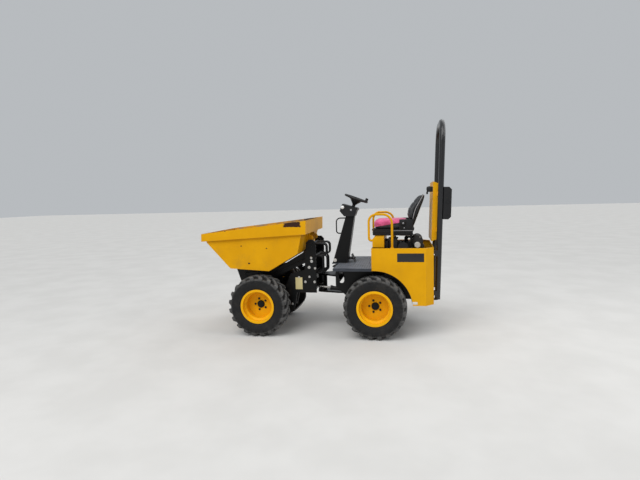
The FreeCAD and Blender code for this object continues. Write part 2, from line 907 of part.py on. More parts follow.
HOSES = (
    # Y, X and Z of the upper end, X and Z of the lower end, X of the loop behind
    ("hoseInnerY + hosePitch", "liftPinX", "liftPinZ", "linkPinX", "linkPinZ", "hoseHighX"),
    ("hoseOuterY - hosePitch", "liftPinX", "liftPinZ", "linkPinX", "linkPinZ", "hoseHighX"),
    ("hoseInnerY", "linkPinX", "linkPinZ", "bulkOneX", "hoseLowZ", "hoseMidX"),
    ("hoseOuterY", "linkPinX", "linkPinZ", "bulkOneX", "hoseLowZ", "hoseSideX"),
)


def hoses(frame):
    """Loops between the cross pins of the tower and its rear plate."""
    loops = []
    for y, high_x, high_z, low_x, low_z, rear in HOSES:
        route = ((high_x, y, high_z), (rear, y, high_z), (rear, y, low_z), (low_x, y, low_z))
        loops.append(cut(tube(route, "hoseRadius", "hoseBend", "Hose"), [frame]))
    return group(both(loops))


name_part("hoses", hoses(tower))


# Lift arms, level links and cradle


def lift_arms():
    points = (("liftPinX", "liftPinZ"), ("armBendOneX", "armBendOneZ"),
              ("armBendTwoX", "armBendTwoZ"), ("liftPinX + reachX", "liftPinZ - dropZ"))
    low = "armY"
    high = "armY + armT"
    parts = []
    for start, end in zip(points, points[1:]):
        parts += limb((start, end), "armHalf", low, high)
    for x, z in (points[0], points[-1]):
        parts.append(cross_rod(x, z, "armBoss", low, high))
    side = cut(fuse(parts), [cross_rod(x, z, "linkPinRadius + runGap", "armY - 10", "armY + armT + 10")
                             for x, z in (points[0], points[-1])])
    lug_low = "eyeHalf + eyeGap"
    lug = fuse(limb((("armTubeX", "armTubeZ"), ("liftEyeX", "liftEyeZ")), "eyeRadius", lug_low,
                    "%s + lugT" % lug_low)
               + [cross_rod("liftEyeX", "liftEyeZ", "ramPin", lug_low, "%s + lugT + headT" % lug_low)])
    cross = cross_rod("armTubeX", "armTubeZ", "armTubeRadius", "-armY - 5", "armY + 5")
    return fuse([cross] + both([side, lug]))


def level_links():
    points = (("linkPinX", "linkPinZ"), ("linkPinX + reachX", "linkPinZ - dropZ"))
    low = "linkY"
    high = "linkY + linkT"
    parts = limb(points, "linkHalf", low, high)
    parts += [cross_rod(x, z, "linkBoss", low, high) for x, z in points]
    bores = [cross_rod(x, z, "linkPinRadius + runGap", "linkY - 10", "linkY + linkT + 10")
             for x, z in points]
    return group(both([cut(fuse(parts), bores)]))


def cradle():
    low = "cradleY"
    high = "cradleY + plateT"
    top_x, top_z = "liftPinX + reachX", "liftPinZ - dropZ"
    low_x, low_z = "linkPinX + reachX", "linkPinZ - dropZ"
    outline = (
        ("cradleHeelX", "cradleHeelZ"),
        ("cradleHeelX", "cradleBackZ"),
        ("cradleTopX", "cradleTopZ"),
        ("tipPinX - 12", "tipPinZ + 24"),
        ("cradleNoseX - 12", "tipPinZ + 8"),
        ("cradleNoseX", "cradleNoseZ"),
        ("cradleToeX", "cradleToeZ"),
        ("%s + 42" % low_x, "cradleSoleZ"),
    )
    parts = [slab("XZ", outline, low, high),
             cross_rod("tipPinX", "tipPinZ", "tipBoss - 4", low, high),
             cross_rod("tipPinX", "tipPinZ", "tipPinRadius", "tipLugY - headT", high),
             cross_rod(top_x, top_z, "collarRadius", low, "armY - collarGap"),
             cross_rod(top_x, top_z, "linkPinRadius", low, "armY + armT + headT"),
             cross_rod(low_x, low_z, "linkPinRadius", low, "linkY + linkT + headT"),
             cross_rod(low_x, low_z, "collarRadius", "linkY + linkT + collarGap",
                       "linkY + linkT + headT + collarGap"),
             cross_rod(low_x, low_z, "collarRadius", "armY + armT + headT", "linkY - collarGap")]
    cross = [cross_rod("tipBaseX", "tipBaseZ", "ramPin", "-cradleY - 4", "cradleY + 4"),
             cross_rod("cradleTubeX", "cradleTubeZ", "cradleTubeRadius", "-cradleY - 4", "cradleY + 4")]
    return fuse(both([fuse(parts)]) + cross)


name_part("lift_arms", lift_arms())
name_part("level_links", level_links())
name_part("cradle", cradle())


# Skip: a folded body inside a deeper top band, open above.


def skip():
    body = new_body("skip")
    shell = (("rimFrontX - 40", "skipFrontZ + 60"), ("skipFrontX", "skipFrontZ"),
             ("skipToeX", "skipToeZ"), ("skipHeelX", "skipHeelZ"), ("skipBackX", "skipBackZ"),
             ("skipRearX", "skipRearZ"), ("rimRearX + 60", "rimRearLowZ + 60"))
    band = (("rimFrontX", "rimFrontLowZ"), ("rimFrontX - 3", "rimFrontTopZ"),
            ("rimRearX", "rimRearTopZ"), ("rimRearX + 5", "rimRearLowZ"))
    pad(body, "XZ", shell, "-skipHalf", "skipHalf")
    pad(body, "XZ", band, "-rimHalf", "rimHalf")
    lug_x = (("tipPinX - tipBoss", "tipPinZ"), ("tipPinX + tipBoss - 4", "tipPinZ"),
             ("skipToeX - 4", "skipToeZ + 4"), ("tipPinX - tipBoss - 30", "skipToeZ + 2"))
    for sign in (1, -1):
        low, high = ordered(sign, "tipLugY", "tipLugY + tipLugT")
        pad(body, "XZ", lug_x, low, high)
        pad(body, "XZ", (), low, high, (("tipPinX", "tipPinZ", "tipBoss - 4"),))
        low, high = ordered(sign, "rearLugY", "rearLugY + plateT")
        pad(body, "XZ", (("rearLugX", "rearLugZ + rearLugRadius - 1"), ("skipRearX + 6", "skipRearZ + 10"),
                         ("skipBackX - 4", "skipBackZ + 60"), ("rearLugX", "rearLugZ - rearLugRadius + 1")),
            low, high)
        pad(body, "XZ", (), low, high, (("rearLugX", "rearLugZ", "rearLugRadius"),))
        pad(body, "XZ", (), *ordered(sign, "rearLugY - 8", "rearLugY + plateT + 8"),
            (("rearLugX", "rearLugZ", "rearLugPin"),))
        for inner in ("tipRamY + eyeHalf + eyeGap", "tipRamY - eyeHalf - eyeGap - lugT"):
            low, high = ordered(sign, inner, "%s + lugT" % inner)
            pad(body, "XZ", (("tipEyeX - eyeRadius", "tipEyeZ"), ("tipEyeX + eyeRadius", "tipEyeZ"),
                             ("tipEyeX + eyeRadius + 12", "skipToeZ + 1"),
                             ("tipEyeX - eyeRadius - 12", "skipToeZ - 8")), low, high)
            pad(body, "XZ", (), low, high, (("tipEyeX", "tipEyeZ", "eyeRadius"),))
    hollow = (("rimFrontX - 40 - skipT", "skipFrontZ + 80"), ("skipFrontX - skipT * 1.1", "skipFrontZ + 2"),
              ("skipToeX - skipT * 0.5", "skipToeZ + skipT * 1.1"),
              ("skipHeelX + skipT * 0.3", "skipHeelZ + skipT"),
              ("skipBackX + skipT", "skipBackZ + skipT * 0.5"),
              ("skipRearX + skipT", "skipRearZ"), ("rimRearX + 60 + skipT", "rimRearLowZ + 80"))
    pocket(body, "XZ", hollow, "skipT - skipHalf", "skipHalf - skipT")
    mouth = (("rimFrontX - skipT", "rimFrontLowZ + skipT"), ("rimFrontX - skipT - 3", "rimFrontTopZ + 10"),
             ("rimRearX + skipT", "rimRearTopZ + 10"), ("rimRearX + 5 + skipT", "rimRearLowZ + skipT"))
    pocket(body, "XZ", mouth, "skipT - rimHalf", "rimHalf - skipT")
    for sign in (1, -1):
        pocket(body, "XZ", (), *ordered(sign, "tipLugY - 5", "tipLugY + tipLugT + 5"),
               (("tipPinX", "tipPinZ", "tipPinRadius + runGap"),))
    return body


def ordered(sign, low, high):
    """A span of Y on the left, or the same span on the right with its low end first."""
    if sign > 0:
        return low, high
    return "-(%s)" % high, "-(%s)" % low


name_part("skip", skip())


# Rams: each barrel and rod lies between its base pin and its eye.


def ram(base, eye, y, barrel_radius, rod_radius, barrel_length, half):
    """Barrel and rod of one ram in the XZ plane, with its middle at Y."""
    bx, bz = base
    ex, ez = eye
    run_x = "((%s) - (%s))" % (ex, bx)
    run_z = "((%s) - (%s))" % (ez, bz)
    span = "sqrt(%s ^ 2 + %s ^ 2)" % (run_x, run_z)

    def along(distance):
        return ("(%s) + %s * (%s) / %s" % (bx, run_x, distance, span),
                "(%s) + %s * (%s) / %s" % (bz, run_z, distance, span))

    def bar(radius, start, end):
        item = doc.addObject("Part::Cylinder", "Bar")
        bind(item, "Radius", radius)
        bind(item, "Height", "(%s) - (%s)" % (end, start))
        x, z = along(start)
        place(item, x, y, z, Rotation(Vector(0, 0, 1), Vector(size(run_x), 0, size(run_z))))
        bind(item, "Placement.Rotation.Axis.x", "0")
        bind(item, "Placement.Rotation.Axis.y", "1")
        bind(item, "Placement.Rotation.Axis.z", "0")
        bind(item, "Placement.Rotation.Angle", "90 - atan2(%s; %s) / 1 deg" % (run_z, run_x))
        return item

    low = "(%s) - (%s)" % (y, half)
    high = "(%s) + (%s)" % (y, half)
    base_cap = "eyeRadius + ramNeck"
    barrel = fuse([bar("ramPin", "ramPin", "%s + ramNeck / 2" % base_cap),
                   bar(barrel_radius, base_cap, barrel_length),
                   bar("%s + glandRim" % barrel_radius, "%s - glandLength" % barrel_length, barrel_length),
                   cross_rod(bx, bz, "eyeRadius", low, high)])
    barrel = cut(barrel, [cross_rod(bx, bz, "ramPin + runGap", "%s - eyeHalf" % low, "%s + eyeHalf" % high),
                          bar("%s + rodGap" % rod_radius, "%s + capT" % base_cap,
                              "%s + capT" % barrel_length)])
    piston = fuse([bar(rod_radius, "%s + capT + strokeGap" % base_cap, "%s - eyeRadius / 2" % span),
                   cross_rod(ex, ez, "eyeRadius", low, high)])
    return barrel, piston


lift_barrel, lift_rod = ram(("liftBaseX", "liftBaseZ"), ("liftEyeX", "liftEyeZ"), "0",
                            "liftBarrelRadius", "liftRodRadius", "liftBarrelLength", "eyeHalf")
name_part("lift_barrel", lift_barrel)
name_part("lift_rod", lift_rod)
tip_barrel, tip_rod = ram(("tipBaseX", "tipBaseZ"), ("tipEyeX", "tipEyeZ"), "tipRamY",
                          "tipBarrelRadius", "tipRodRadius", "tipBarrelLength", "eyeHalf")
name_part("tip_barrels", group(both([tip_barrel])))
name_part("tip_rods", group(both([tip_rod])))


def steering_ram():
    """Barrel and rod that slope down to the rear beside the pivot."""
    base = Vector(size("steerBaseX"), size("steerRamY"), size("steerBaseZ"))
    eye = Vector(size("steerArmX"), size("steerRamY"), size("steerEyeZ"))
    run = eye - base
    ahead = Vector(run).normalize()
    length = size("steerBarrelLength")
    gap = size("runGap")

    def bar(radius, start, end):
        return Part.makeCylinder(radius, end - start, base + ahead * start, ahead)

    def stub(centre, radius, half):
        return Part.makeCylinder(radius, 2 * half, centre - Vector(0, 0, half), Vector(0, 0, 1))

    eye_radius = size("steerEyeRadius")
    rod_eye = size("steerRodEye")
    neck = size("steerNeck")
    cap = size("capT")
    body_radius = size("steerBarrelRadius")
    body_start = eye_radius + size("steerShoulder")
    barrel = bar(body_radius, body_start, length)
    barrel = barrel.fuse(bar(neck, size("steerPin"), body_start + cap / 2))
    barrel = barrel.fuse(bar(body_radius + size("glandRim"), length - size("glandLength"), length))
    barrel = barrel.fuse(stub(base, eye_radius, size("steerEyeHalf")))
    barrel = barrel.cut(stub(base, size("steerPin") + gap, size("steerEyeHalf") * 2))
    rod_radius = size("steerRodRadius")
    barrel = barrel.cut(bar(rod_radius + size("rodGap"), body_start + cap, length + cap))
    rod_end = run.Length - eye_radius * 2
    piston = bar(rod_radius, size("steerRodStart"), rod_end)
    piston = piston.fuse(bar(neck, rod_end - cap, run.Length - rod_eye / 2))
    piston = piston.fuse(stub(eye, rod_eye, size("steerRodEyeHalf")))
    for label, shape in (("steer_barrel", barrel), ("steer_rod", piston)):
        item = doc.addObject("Part::Feature", label)
        item.Shape = shape.removeSplitter()
        name_part(label, item)


steering_ram()


# Rear frame


def rear_chassis():
    cheek = cut(slab("XZ", (("deckFrontX", "cheekLowZ"), ("deckFrontX", "deckTopZ - deckT"),
                            ("bodyFrontX", "deckTopZ - deckT"), ("bodyFrontX", "cheekRearZ"),
                            ("railRearX", "cheekRearZ"), ("railRearX", "railLowZ"),
                            ("railFrontX", "railLowZ")),
                     "chassisHalf - plateT", "chassisHalf"),
                [box(("portX - portHalfX", "portX + portHalfX"), ("railY", "deckHalf"),
                     ("portLowZ", "portTopZ")),
                 cross_rod("portX", "portLowZ", "portHalfX", "railY", "deckHalf"),
                 cross_rod("portX", "portTopZ", "portHalfX", "railY", "deckHalf")])
    rail = box(("railRearX", "railFrontX"), ("railY", "chassisHalf - plateT"), ("railLowZ", "railTopZ"))
    parts = both([cheek, rail])
    inside = ("plateT - chassisHalf", "chassisHalf - plateT")
    parts.append(box(("deckFrontX - plateT", "deckFrontX"), inside, ("cheekLowZ", "deckTopZ - deckT")))
    parts.append(box(("railRearX", "railRearX + plateT"), inside, ("railLowZ", "cheekRearZ")))
    for x in ("engineFrontX - crossInset", "engineRearX + crossWidth * 1.5", "crossFrontX"):
        parts.append(box(("%s - crossWidth" % x, x), ("-railY", "railY"), ("railLowZ", "railTopZ")))
    # Bracket of the steering ram's base
    for low in ("steerBaseZ - steerBaseGap - lugT", "steerBaseZ + steerBaseGap"):
        parts += [box(("steerBaseX - steerEyeRadius", "steerBaseX + steerEyeRadius"),
                      ("steerRamY", "chassisHalf - plateT"), (low, "%s + lugT" % low)),
                  rod(("steerBaseX", "steerRamY", "%s + lugT / 2" % low), "steerEyeRadius", "lugT", UPRIGHT)]
    parts.append(rod(("steerBaseX", "steerRamY", "steerBaseZ"), "steerPin", "steerBaseGap * 2 + lugT",
                     UPRIGHT))
    return fuse(parts)


def rear_fork():
    """Upper and lower plates that hold the upright pin of the centre joint."""
    nose_y = "forkNose * 0.95"
    nose_x = "pivotX + forkNose * 0.2"
    parts = [slab("XY", (("deckFrontX", "-forkRearHalf"), (nose_x, "-(%s)" % nose_y),
                         (nose_x, nose_y), ("deckFrontX", "forkRearHalf")), "forkTopZ", "forkTopZ + forkT"),
             slab("XY", (("crossFrontX", "-forkLowHalf"), ("deckFrontX", "-forkLowHalf"),
                         (nose_x, "-(%s)" % nose_y), (nose_x, nose_y),
                         ("deckFrontX", "forkLowHalf"), ("crossFrontX", "forkLowHalf")),
                  "forkLowZ - forkT", "forkLowZ")]
    for low in ("forkTopZ", "forkLowZ - forkT"):
        parts.append(rod(("pivotX", 0, "%s + forkT / 2" % low), "forkNose", "forkT", UPRIGHT))
    parts.append(rod(("pivotX", 0, "(forkTopZ + forkLowZ) / 2"), "pivotPin",
                     "forkTopZ - forkLowZ + forkT * 2", UPRIGHT))
    return fuse(parts)


def tow_jaw():
    """Two plates with a pin hole under the rear cross plate."""
    half_gap = "towGap / 2"
    front = "railRearX + plateT"
    parts = [box(("railRearX", front), ("-towHalf", "towHalf"),
                 ("towZ - %s - plateT" % half_gap, "railLowZ"))]
    for low in ("towZ - %s - plateT" % half_gap, "towZ + %s" % half_gap):
        parts += [box(("towX", front), ("-towHalf", "towHalf"), (low, "%s + plateT" % low)),
                  rod(("towX", 0, "%s + plateT / 2" % low), "towHalf", "plateT", UPRIGHT)]
    return cut(fuse(parts), [rod(("towX", 0, "towZ"), "towRadius", "towGap + plateT * 3", UPRIGHT)])


def footplate():
    top = box(("bodyFrontX + seatGap", "deckFrontX"), ("-deckHalf", "deckHalf"),
              ("deckTopZ - deckT", "deckTopZ"))
    lips = both([box(("bodyFrontX + seatGap", "deckFrontX"), ("deckHalf - deckT", "deckHalf"),
                     ("deckTopZ - deckLip", "deckTopZ - deckT"))])
    tongue = box(("deckFrontX", "columnFrontX + tongueRim"),
                 ("-columnHalf - tongueRim", "columnHalf + tongueRim"), ("deckTopZ - plateT", "deckTopZ"))
    return fuse([top, tongue] + lips)


def side_panel(name, sign):
    body = new_body(name)
    inner = "bodyHalf - sheetT"
    plan = (("bodyFrontX", "bodyHalf"), ("bodySideX", "bodyHalf"), ("bodyRearX", "bodyRearHalf"),
            ("bodyRearX + sheetT", "bodyRearHalf - sheetT * mitre"), ("bodySideX + sheetT * mitre", inner),
            ("bodyFrontX", inner))
    flange = (("bodyFrontX", "bodyHalf"), ("bodySideX", "bodyHalf"), ("bodyRearX", "bodyRearHalf"),
              ("bodyRearX + bodyFlange", "bodyRearHalf - bodyFlange * mitre"),
              ("bodySideX + bodyFlange * mitre", "bodyHalf - bodyFlange"),
              ("bodyFrontX", "bodyHalf - bodyFlange"))
    if sign < 0:
        plan = [(x, "-(%s)" % y) for x, y in plan]
        flange = [(x, "-(%s)" % y) for x, y in flange]
    pad(body, "XY", plan, "bodyLowZ", "bodyTopZ")
    pad(body, "XY", flange, "bodyTopZ - sheetT", "bodyTopZ")
    low, high = ordered(sign, "bodyHalf - bodyFlange * 2", "bodyHalf + sheetT")
    pocket(body, "XZ", (), low, high, (("rearAxleX", "tyreRadius", "archRadius"),))
    return body


SLOT_ROWS = 7


def rear_panel():
    """Closing sheet with rows of air slots for the engine."""
    half = "(bodyRearHalf - sheetT * mitre - seatGap)"
    sheet_part = box(("bodyRearX + seatGap", "bodyRearX + sheetT"), ("-" + half, half),
                     ("bodyRearLowZ", "bodyTopZ"))
    slots = []
    for row in range(SLOT_ROWS):
        low = "slotLowZ + slotPitch * %d" % row
        for column in range(-1, 2):
            middle = "slotStepY * %d" % column
            slots.append(box(("bodyRearX - sheetT", "bodyRearX + sheetT * 2"),
                             ("%s - slotHalf" % middle, "%s + slotHalf" % middle),
                             (low, "%s + slotHeight" % low)))
    return cut(sheet_part, slots)


def front_panel():
    return box(("bodyFrontX - sheetT", "bodyFrontX - seatGap"),
               ("sheetT + seatGap - bodyHalf", "bodyHalf - sheetT - seatGap"),
               ("deckTopZ", "bodyTopZ - sheetT - seatGap"))


def arch_liners():
    outer = "archRadius - seatGap"
    hoop = cut(cross_rod("rearAxleX", "tyreRadius", outer, "chassisHalf + seatGap",
                         "bodyHalf - sheetT - seatGap"),
               [cross_rod("rearAxleX", "tyreRadius", "archRadius - linerT", "railY", "bodyHalf"),
                box(("rearAxleX - archRadius", "rearAxleX + archRadius"), ("railY", "bodyHalf"),
                    ("tyreRadius - archRadius", "bodyLowZ + linerFoot")),
                box(("bodyFrontX - linerFront", "rearAxleX + archRadius"), ("railY", "bodyHalf"),
                    ("tyreRadius - archRadius", "tyreRadius + archRadius"))])
    return group(both([hoop]))


name_part("rear_chassis", rear_chassis())
name_part("rear_fork", rear_fork())
name_part("tow_jaw", tow_jaw())
name_part("footplate", footplate())
name_part("side_panel_left", side_panel("side_panel_left", 1))
name_part("side_panel_right", side_panel("side_panel_right", -1))
name_part("rear_panel", rear_panel())
name_part("front_panel", front_panel())
name_part("arch_liners", arch_liners())
name_part("engine_block", box(("engineRearX", "engineFrontX"), ("-engineHalf", "engineHalf"),
                              ("railTopZ", "engineTopZ")))


def engine_top():
    cover = box(("coverRearX", "coverFrontX"), ("-coverHalf", "coverHalf"), ("engineTopZ", "coverTopZ"))
    filter_can = cross_rod("filterX", "filterZ", "filterRadius", "-filterHalf", "filterHalf")
    foot = box(("filterX - filterRadius / 2", "filterX + filterRadius / 2"),
               ("-filterRadius", "filterRadius"), ("engineTopZ", "filterZ"))
    caps = both([cross_rod("filterX", "filterZ", "filterRadius + capRim", "filterHalf - capWidth",
                           "filterHalf")])
    face = "engineHalf + pulleyT"
    pulley = [cross_rod("pulleyX", "pulleyZ", "pulleyShaft", "coverHalf", face),
              cross_rod("pulleyX", "pulleyZ", "pulleyRadius", "engineHalf + seatGap",
                        "%s - pulleyT * 0.7" % face),
              cross_rod("pulleyX", "pulleyZ", "pulleyRadius - pulleyGroove", "engineHalf + seatGap", face),
              cross_rod("pulleyX", "pulleyZ", "pulleyRadius", "%s - pulleyT * 0.3" % face, face)]
    duct = tube((("filterX", "ductY", "filterZ"), ("filterX", "ductY", "ductZ"),
                 ("coverRearX + ductRadius * 2", "ductY", "ductZ"),
                 ("coverRearX + ductRadius * 2", "ductY", "coverTopZ - sheetT")),
                "ductRadius", "ductBend", "Duct")
    return fuse([cover, filter_can, foot, duct] + caps + pulley)


name_part("engine_top", engine_top())


# Seat box, mount, seat and hip guards


BOX_TOP = "(bodyTopZ + boxHeight)"
SEAT_LOW = "(bodyTopZ + boxHeight + mountT)"
SEAT_TOP = "(bodyTopZ + boxHeight + mountT + seatBaseT)"


def seat_box():
    body = new_body("seat_box")
    front = "(bodyFrontX - boxLead)"
    corner = "boxChamfer"
    outline = ((front, "bodyTopZ"), (front, "%s - %s" % (BOX_TOP, corner)),
               ("%s - %s" % (front, corner), BOX_TOP), ("boxRearX", BOX_TOP), ("boxRearX", "bodyTopZ"))
    pad(body, "XZ", outline, "-boxHalf", "boxHalf")
    inside = "(%s - sheetT)" % front
    hollow = ((inside, "bodyTopZ - sheetT"), (inside, "%s - %s - sheetT" % (BOX_TOP, corner)),
              ("%s - %s" % (inside, corner), "%s - sheetT" % BOX_TOP),
              ("boxRearX + sheetT", "%s - sheetT" % BOX_TOP), ("boxRearX + sheetT", "bodyTopZ - sheetT"))
    pocket(body, "XZ", hollow, "sheetT - boxHalf", "boxHalf - sheetT")
    return body


def seat_mount():
    plate = box(("mountRearX", "bodyFrontX - mountInset"), ("-mountHalf", "mountHalf"), (BOX_TOP, SEAT_LOW))
    bar_top = "bodyTopZ - sheetT - seatGap * 3"
    bar = box(("mountBarX - mountBarT", "mountBarX"), ("sheetT - bodyHalf", "bodyHalf - sheetT"),
              ("%s - mountBarT" % bar_top, bar_top))
    legs = both([box(("mountBarX - mountBarT", "mountBarX"), ("mountHalf - mountInset", "mountHalf"),
                     (bar_top, BOX_TOP))])
    return fuse([plate, bar] + legs)


def seat_base():
    return slab("XZ", (("seatBaseFrontX", SEAT_LOW), ("seatBaseFrontX", "%s - seatBaseStep" % SEAT_TOP),
                       ("cushionFrontX", SEAT_TOP), ("backRearX - backHollow * 2", SEAT_TOP),
                       ("seatBaseRearX", "%s + seatBaseRearT" % SEAT_LOW), ("seatBaseRearX", SEAT_LOW)),
                "-seatHalf", "seatHalf")


def seat_cushion():
    low = "%s + seatGap" % SEAT_TOP
    high = "%s + cushionT" % SEAT_TOP
    return slab("XZ", (("cushionFrontX", low), ("cushionFrontX + cushionLip", "%s - cushionNose" % high),
                       ("cushionFrontX - cushionNose + seatGap", high), ("cushionRearX", high),
                       ("cushionRearX", low)), "-seatHalf", "seatHalf")


def seat_back():
    foot = "%s + seatGap" % SEAT_TOP
    return slab("XZ", (("backFootX", foot), ("backFootX - backHollow", "%s + backKneeRise" % SEAT_TOP),
                       ("backTopFrontX", "%s + backRise" % SEAT_TOP),
                       ("backTopRearX", "%s + backRearRise" % SEAT_TOP), ("backRearX", foot)),
                "-backHalf", "backHalf")


def hip_guards():
    strap_top = "bodyTopZ - sheetT - seatGap"
    strap_low = "%s - strapT" % strap_top
    route = (("hoopRearX", "hoopY", strap_low), ("hoopRearX", "hoopY", "hoopTopZ"),
             ("hoopFrontX", "hoopY", "hoopTopZ"), ("hoopFrontX", "hoopY", "hoopLowZ"),
             ("bodyFrontX - boxLead + seatGap", "hoopY", "hoopLowZ"))
    strap = box(("hoopRearX - strapHalf", "hoopRearX + strapHalf"),
                ("hoopY - strapHalf", "bodyHalf - sheetT - seatGap"), (strap_low, strap_top))
    return fuse([tube(route, "hoopRadius", "hoopBend", "Hoop"), strap])


name_part("seat_box", seat_box())
name_part("seat_mount", seat_mount())
name_part("seat_base", seat_base())
name_part("seat_cushion", seat_cushion())
name_part("seat_back", seat_back())
name_part("hip_guards", group(both([hip_guards()])))


# Column, dash, steering wheel


def column():
    body = new_body("column")
    loft = body.newObject("PartDesign::AdditiveLoft", "Column")
    loft.Profile = body_sketch(body, "XY", "deckTopZ",
                               rectangle("columnRearX", "columnFrontX", "columnHalf"))
    loft.Sections = [body_sketch(body, "XY", "columnTopZ",
                                 rectangle("columnTopRearX", "columnTopFrontX", "columnTopHalf"))]
    loft.Ruled = True
    return body


def rectangle(low, high, half):
    return ((low, "-(%s)" % half), (high, "-(%s)" % half), (high, half), (low, half))


def grab_handle(post):
    def face(z):
        return ("columnFrontX + (columnTopFrontX - columnFrontX) * ((%s) - deckTopZ)"
                " / (columnTopZ - deckTopZ)" % z)
    bar = tube(((face("handleTopZ") + " - handleRadius", "0", "handleTopZ"), ("handleX", "0", "handleTopZ"),
                ("handleX", "0", "handleLowZ"), (face("handleLowZ") + " - handleRadius", "0", "handleLowZ")),
               "handleRadius", "handleBend", "Handle")
    return cut(bar, [post])


def pedals(post):
    """Two foot pedals on arms from the back of the column."""
    root = "columnRearX"
    pair = []
    for sign in (1, -1):
        low, high = ordered(sign, "pedalY - pedalHalf", "pedalY + pedalHalf")
        pair.append(slab("XZ", (("pedalX", "pedalZ"), ("pedalX + pedalLean", "pedalZ + pedalHeight"),
                                ("pedalX + pedalLean - pedalT", "pedalZ + pedalHeight"),
                                ("pedalX - pedalT", "pedalZ")), low, high))
        low, high = ordered(sign, "pedalY - pedalArm", "pedalY + pedalArm")
        pair.append(slab("XZ", (("pedalX", "pedalZ + pedalHeight / 3"), (root, "pedalZ + pedalHeight / 3"),
                                (root, "pedalZ + pedalHeight / 3 + pedalArm * 2"),
                                ("pedalX", "pedalZ + pedalHeight / 3 + pedalArm * 2")), low, high))
    return group([cut(fuse(pair[:2]), [post]), cut(fuse(pair[2:]), [post])])


def dash():
    stub = doc.addObject("Part::Cylinder", "ShaftStub")
    bind(stub, "Radius", "wheelNeck + stubRim")
    bind(stub, "Height", "stubHeight")
    lean = Rotation(Vector(0, 1, 0), -size("wheelTilt"))
    drop = "(wheelDish + seatGap + stubHeight)"
    place(stub, "wheelX + %s * sin(wheelTilt)" % drop, 0, "wheelZ - %s * cos(wheelTilt)" % drop, lean)
    foot = "columnTopZ + seatGap"
    case = slab("XZ", (("dashNoseX", "dashNoseZ"), ("dashPeakX", "dashPeakZ"), ("dashRearX", "dashRearZ"),
                       ("columnTopRearX - dashLap", foot), ("columnTopFrontX + dashLap * 2", foot)),
                "-dashHalf", "dashHalf")
    return fuse([case, stub])


def steering_wheel():
    item = doc.addObject("Part::Torus", "Grip")
    bind(item, "Radius1", "wheelRadius")
    bind(item, "Radius2", "wheelGrip")
    hub_part = doc.addObject("Part::Cone", "Boss")
    bind(hub_part, "Radius1", "wheelNeck")
    bind(hub_part, "Radius2", "wheelHub")
    bind(hub_part, "Height", "wheelDish - wheelHubDrop")
    place(hub_part, 0, 0, "-wheelDish")
    spokes = []
    for angle in (30, 150, 270):
        spoke = doc.addObject("Part::Box", "Spoke")
        bind(spoke, "Length", "wheelRadius")
        bind(spoke, "Width", "spokeWidth")
        bind(spoke, "Height", "spokeT")
        turn = Rotation(Vector(0, 0, 1), angle) * Rotation(Vector(0, 1, 0), -size("spokeRise"))
        place(spoke, "spokeWidth / 2 * sin(%d)" % angle, "-spokeWidth / 2 * cos(%d)" % angle,
              "-wheelHubDrop - spokeT", turn)
        spokes.append(spoke)
    knob = doc.addObject("Part::Cylinder", "Knob")
    bind(knob, "Radius", "knobRadius")
    bind(knob, "Height", "knobHeight")
    place(knob, "-wheelRadius * 0.94", "wheelRadius * 0.34", "wheelGrip * 0.7")
    whole = fuse([item, hub_part, knob] + spokes)
    return place(whole, "wheelX", 0, "wheelZ", Rotation(Vector(0, 1, 0), -size("wheelTilt")))


post = name_part("column", column())
name_part("grab_handle", grab_handle(post))
name_part("pedals", pedals(post))
name_part("dash", dash())
name_part("steering_wheel", steering_wheel())


# Roll bar, guard and lamp box, all leaning together


def rops():
    route = (("0", "-ropsHalf", "0"), ("0", "-ropsHalf", "ropsHeight - ropsRadius"),
             ("0", "ropsHalf", "ropsHeight - ropsRadius"), ("0", "ropsHalf", "0"))
    return tube(route, "ropsRadius", "ropsBend", "RollBar")


def guard():
    low, high = "guardLowZ", "guardTopZ"
    sheet_front = box(("guardFrontX - sheetT", "guardFrontX"), ("-guardHalf", "guardHalf"), (low, high))
    rear_top = "%s - guardDrop" % high
    flanges = both([slab("XZ", (("guardFrontX", low), ("guardFrontX", high), ("guardRearX", rear_top),
                                ("guardRearX", "%s + guardRise" % low)), "guardHalf - sheetT", "guardHalf")])
    cap = slab("XZ", (("guardFrontX", "%s - sheetT" % high), ("guardFrontX", high),
                      ("guardRearX", rear_top), ("guardRearX", "%s - sheetT" % rear_top)),
               "-guardHalf", "guardHalf")
    tabs = both([box(("ropsRadius", "ropsRadius + tabT"), ("guardHalf - sheetT", "ropsHalf + tabReach"),
                     (z, "%s + tabHeight" % z))
                 for z in ("guardLowZ + tabInset", "guardTopZ - tabInset - tabHeight")])
    return fuse([sheet_front, cap] + flanges + tabs)


def lamp_box():
    rear = "-ropsRadius - lampDepth"
    corner = "lampCorner"
    case = slab("XZ", (("-ropsRadius", "lampLowZ"), ("-ropsRadius", "lampTopZ"),
                       ("%s + %s" % (rear, corner), "lampTopZ"), (rear, "lampTopZ - %s" % corner),
                       (rear, "lampLowZ + %s" % corner), ("%s + %s" % (rear, corner), "lampLowZ")),
                "-lampHalf", "lampHalf")
    lamps = both([cross_rod("-ropsRadius - lampDepth * 0.55", z, "lampRadius", "lampHalf - lampProud",
                            "lampHalf + lampProud") for z in ("lampOneZ", "lampTwoZ")])
    return fuse([case] + lamps)


def rops_feet():
    """Four blocks that hold the posts off the rear panel."""
    return both([box(("ropsX - ropsRadius * 0.7", "bodyRearX"),
                     ("ropsHalf - ropsRadius", "ropsHalf + ropsRadius"), (z, "%s + footHeight" % z))
                 for z in ("footLowZ", "footTopZ")])


for label, make in (("rops", rops), ("guard", guard), ("lamp_box", lamp_box)):
    piece = group([make()])
    lean = Rotation(Vector(0, 1, 0), -size("ropsLean"))
    place(piece, "ropsX", 0, "ropsLowZ", lean)
    if make is rops:
        piece = fuse([piece] + rops_feet())
    name_part(label, piece)


# Check every object, then write one file for each sub-part.

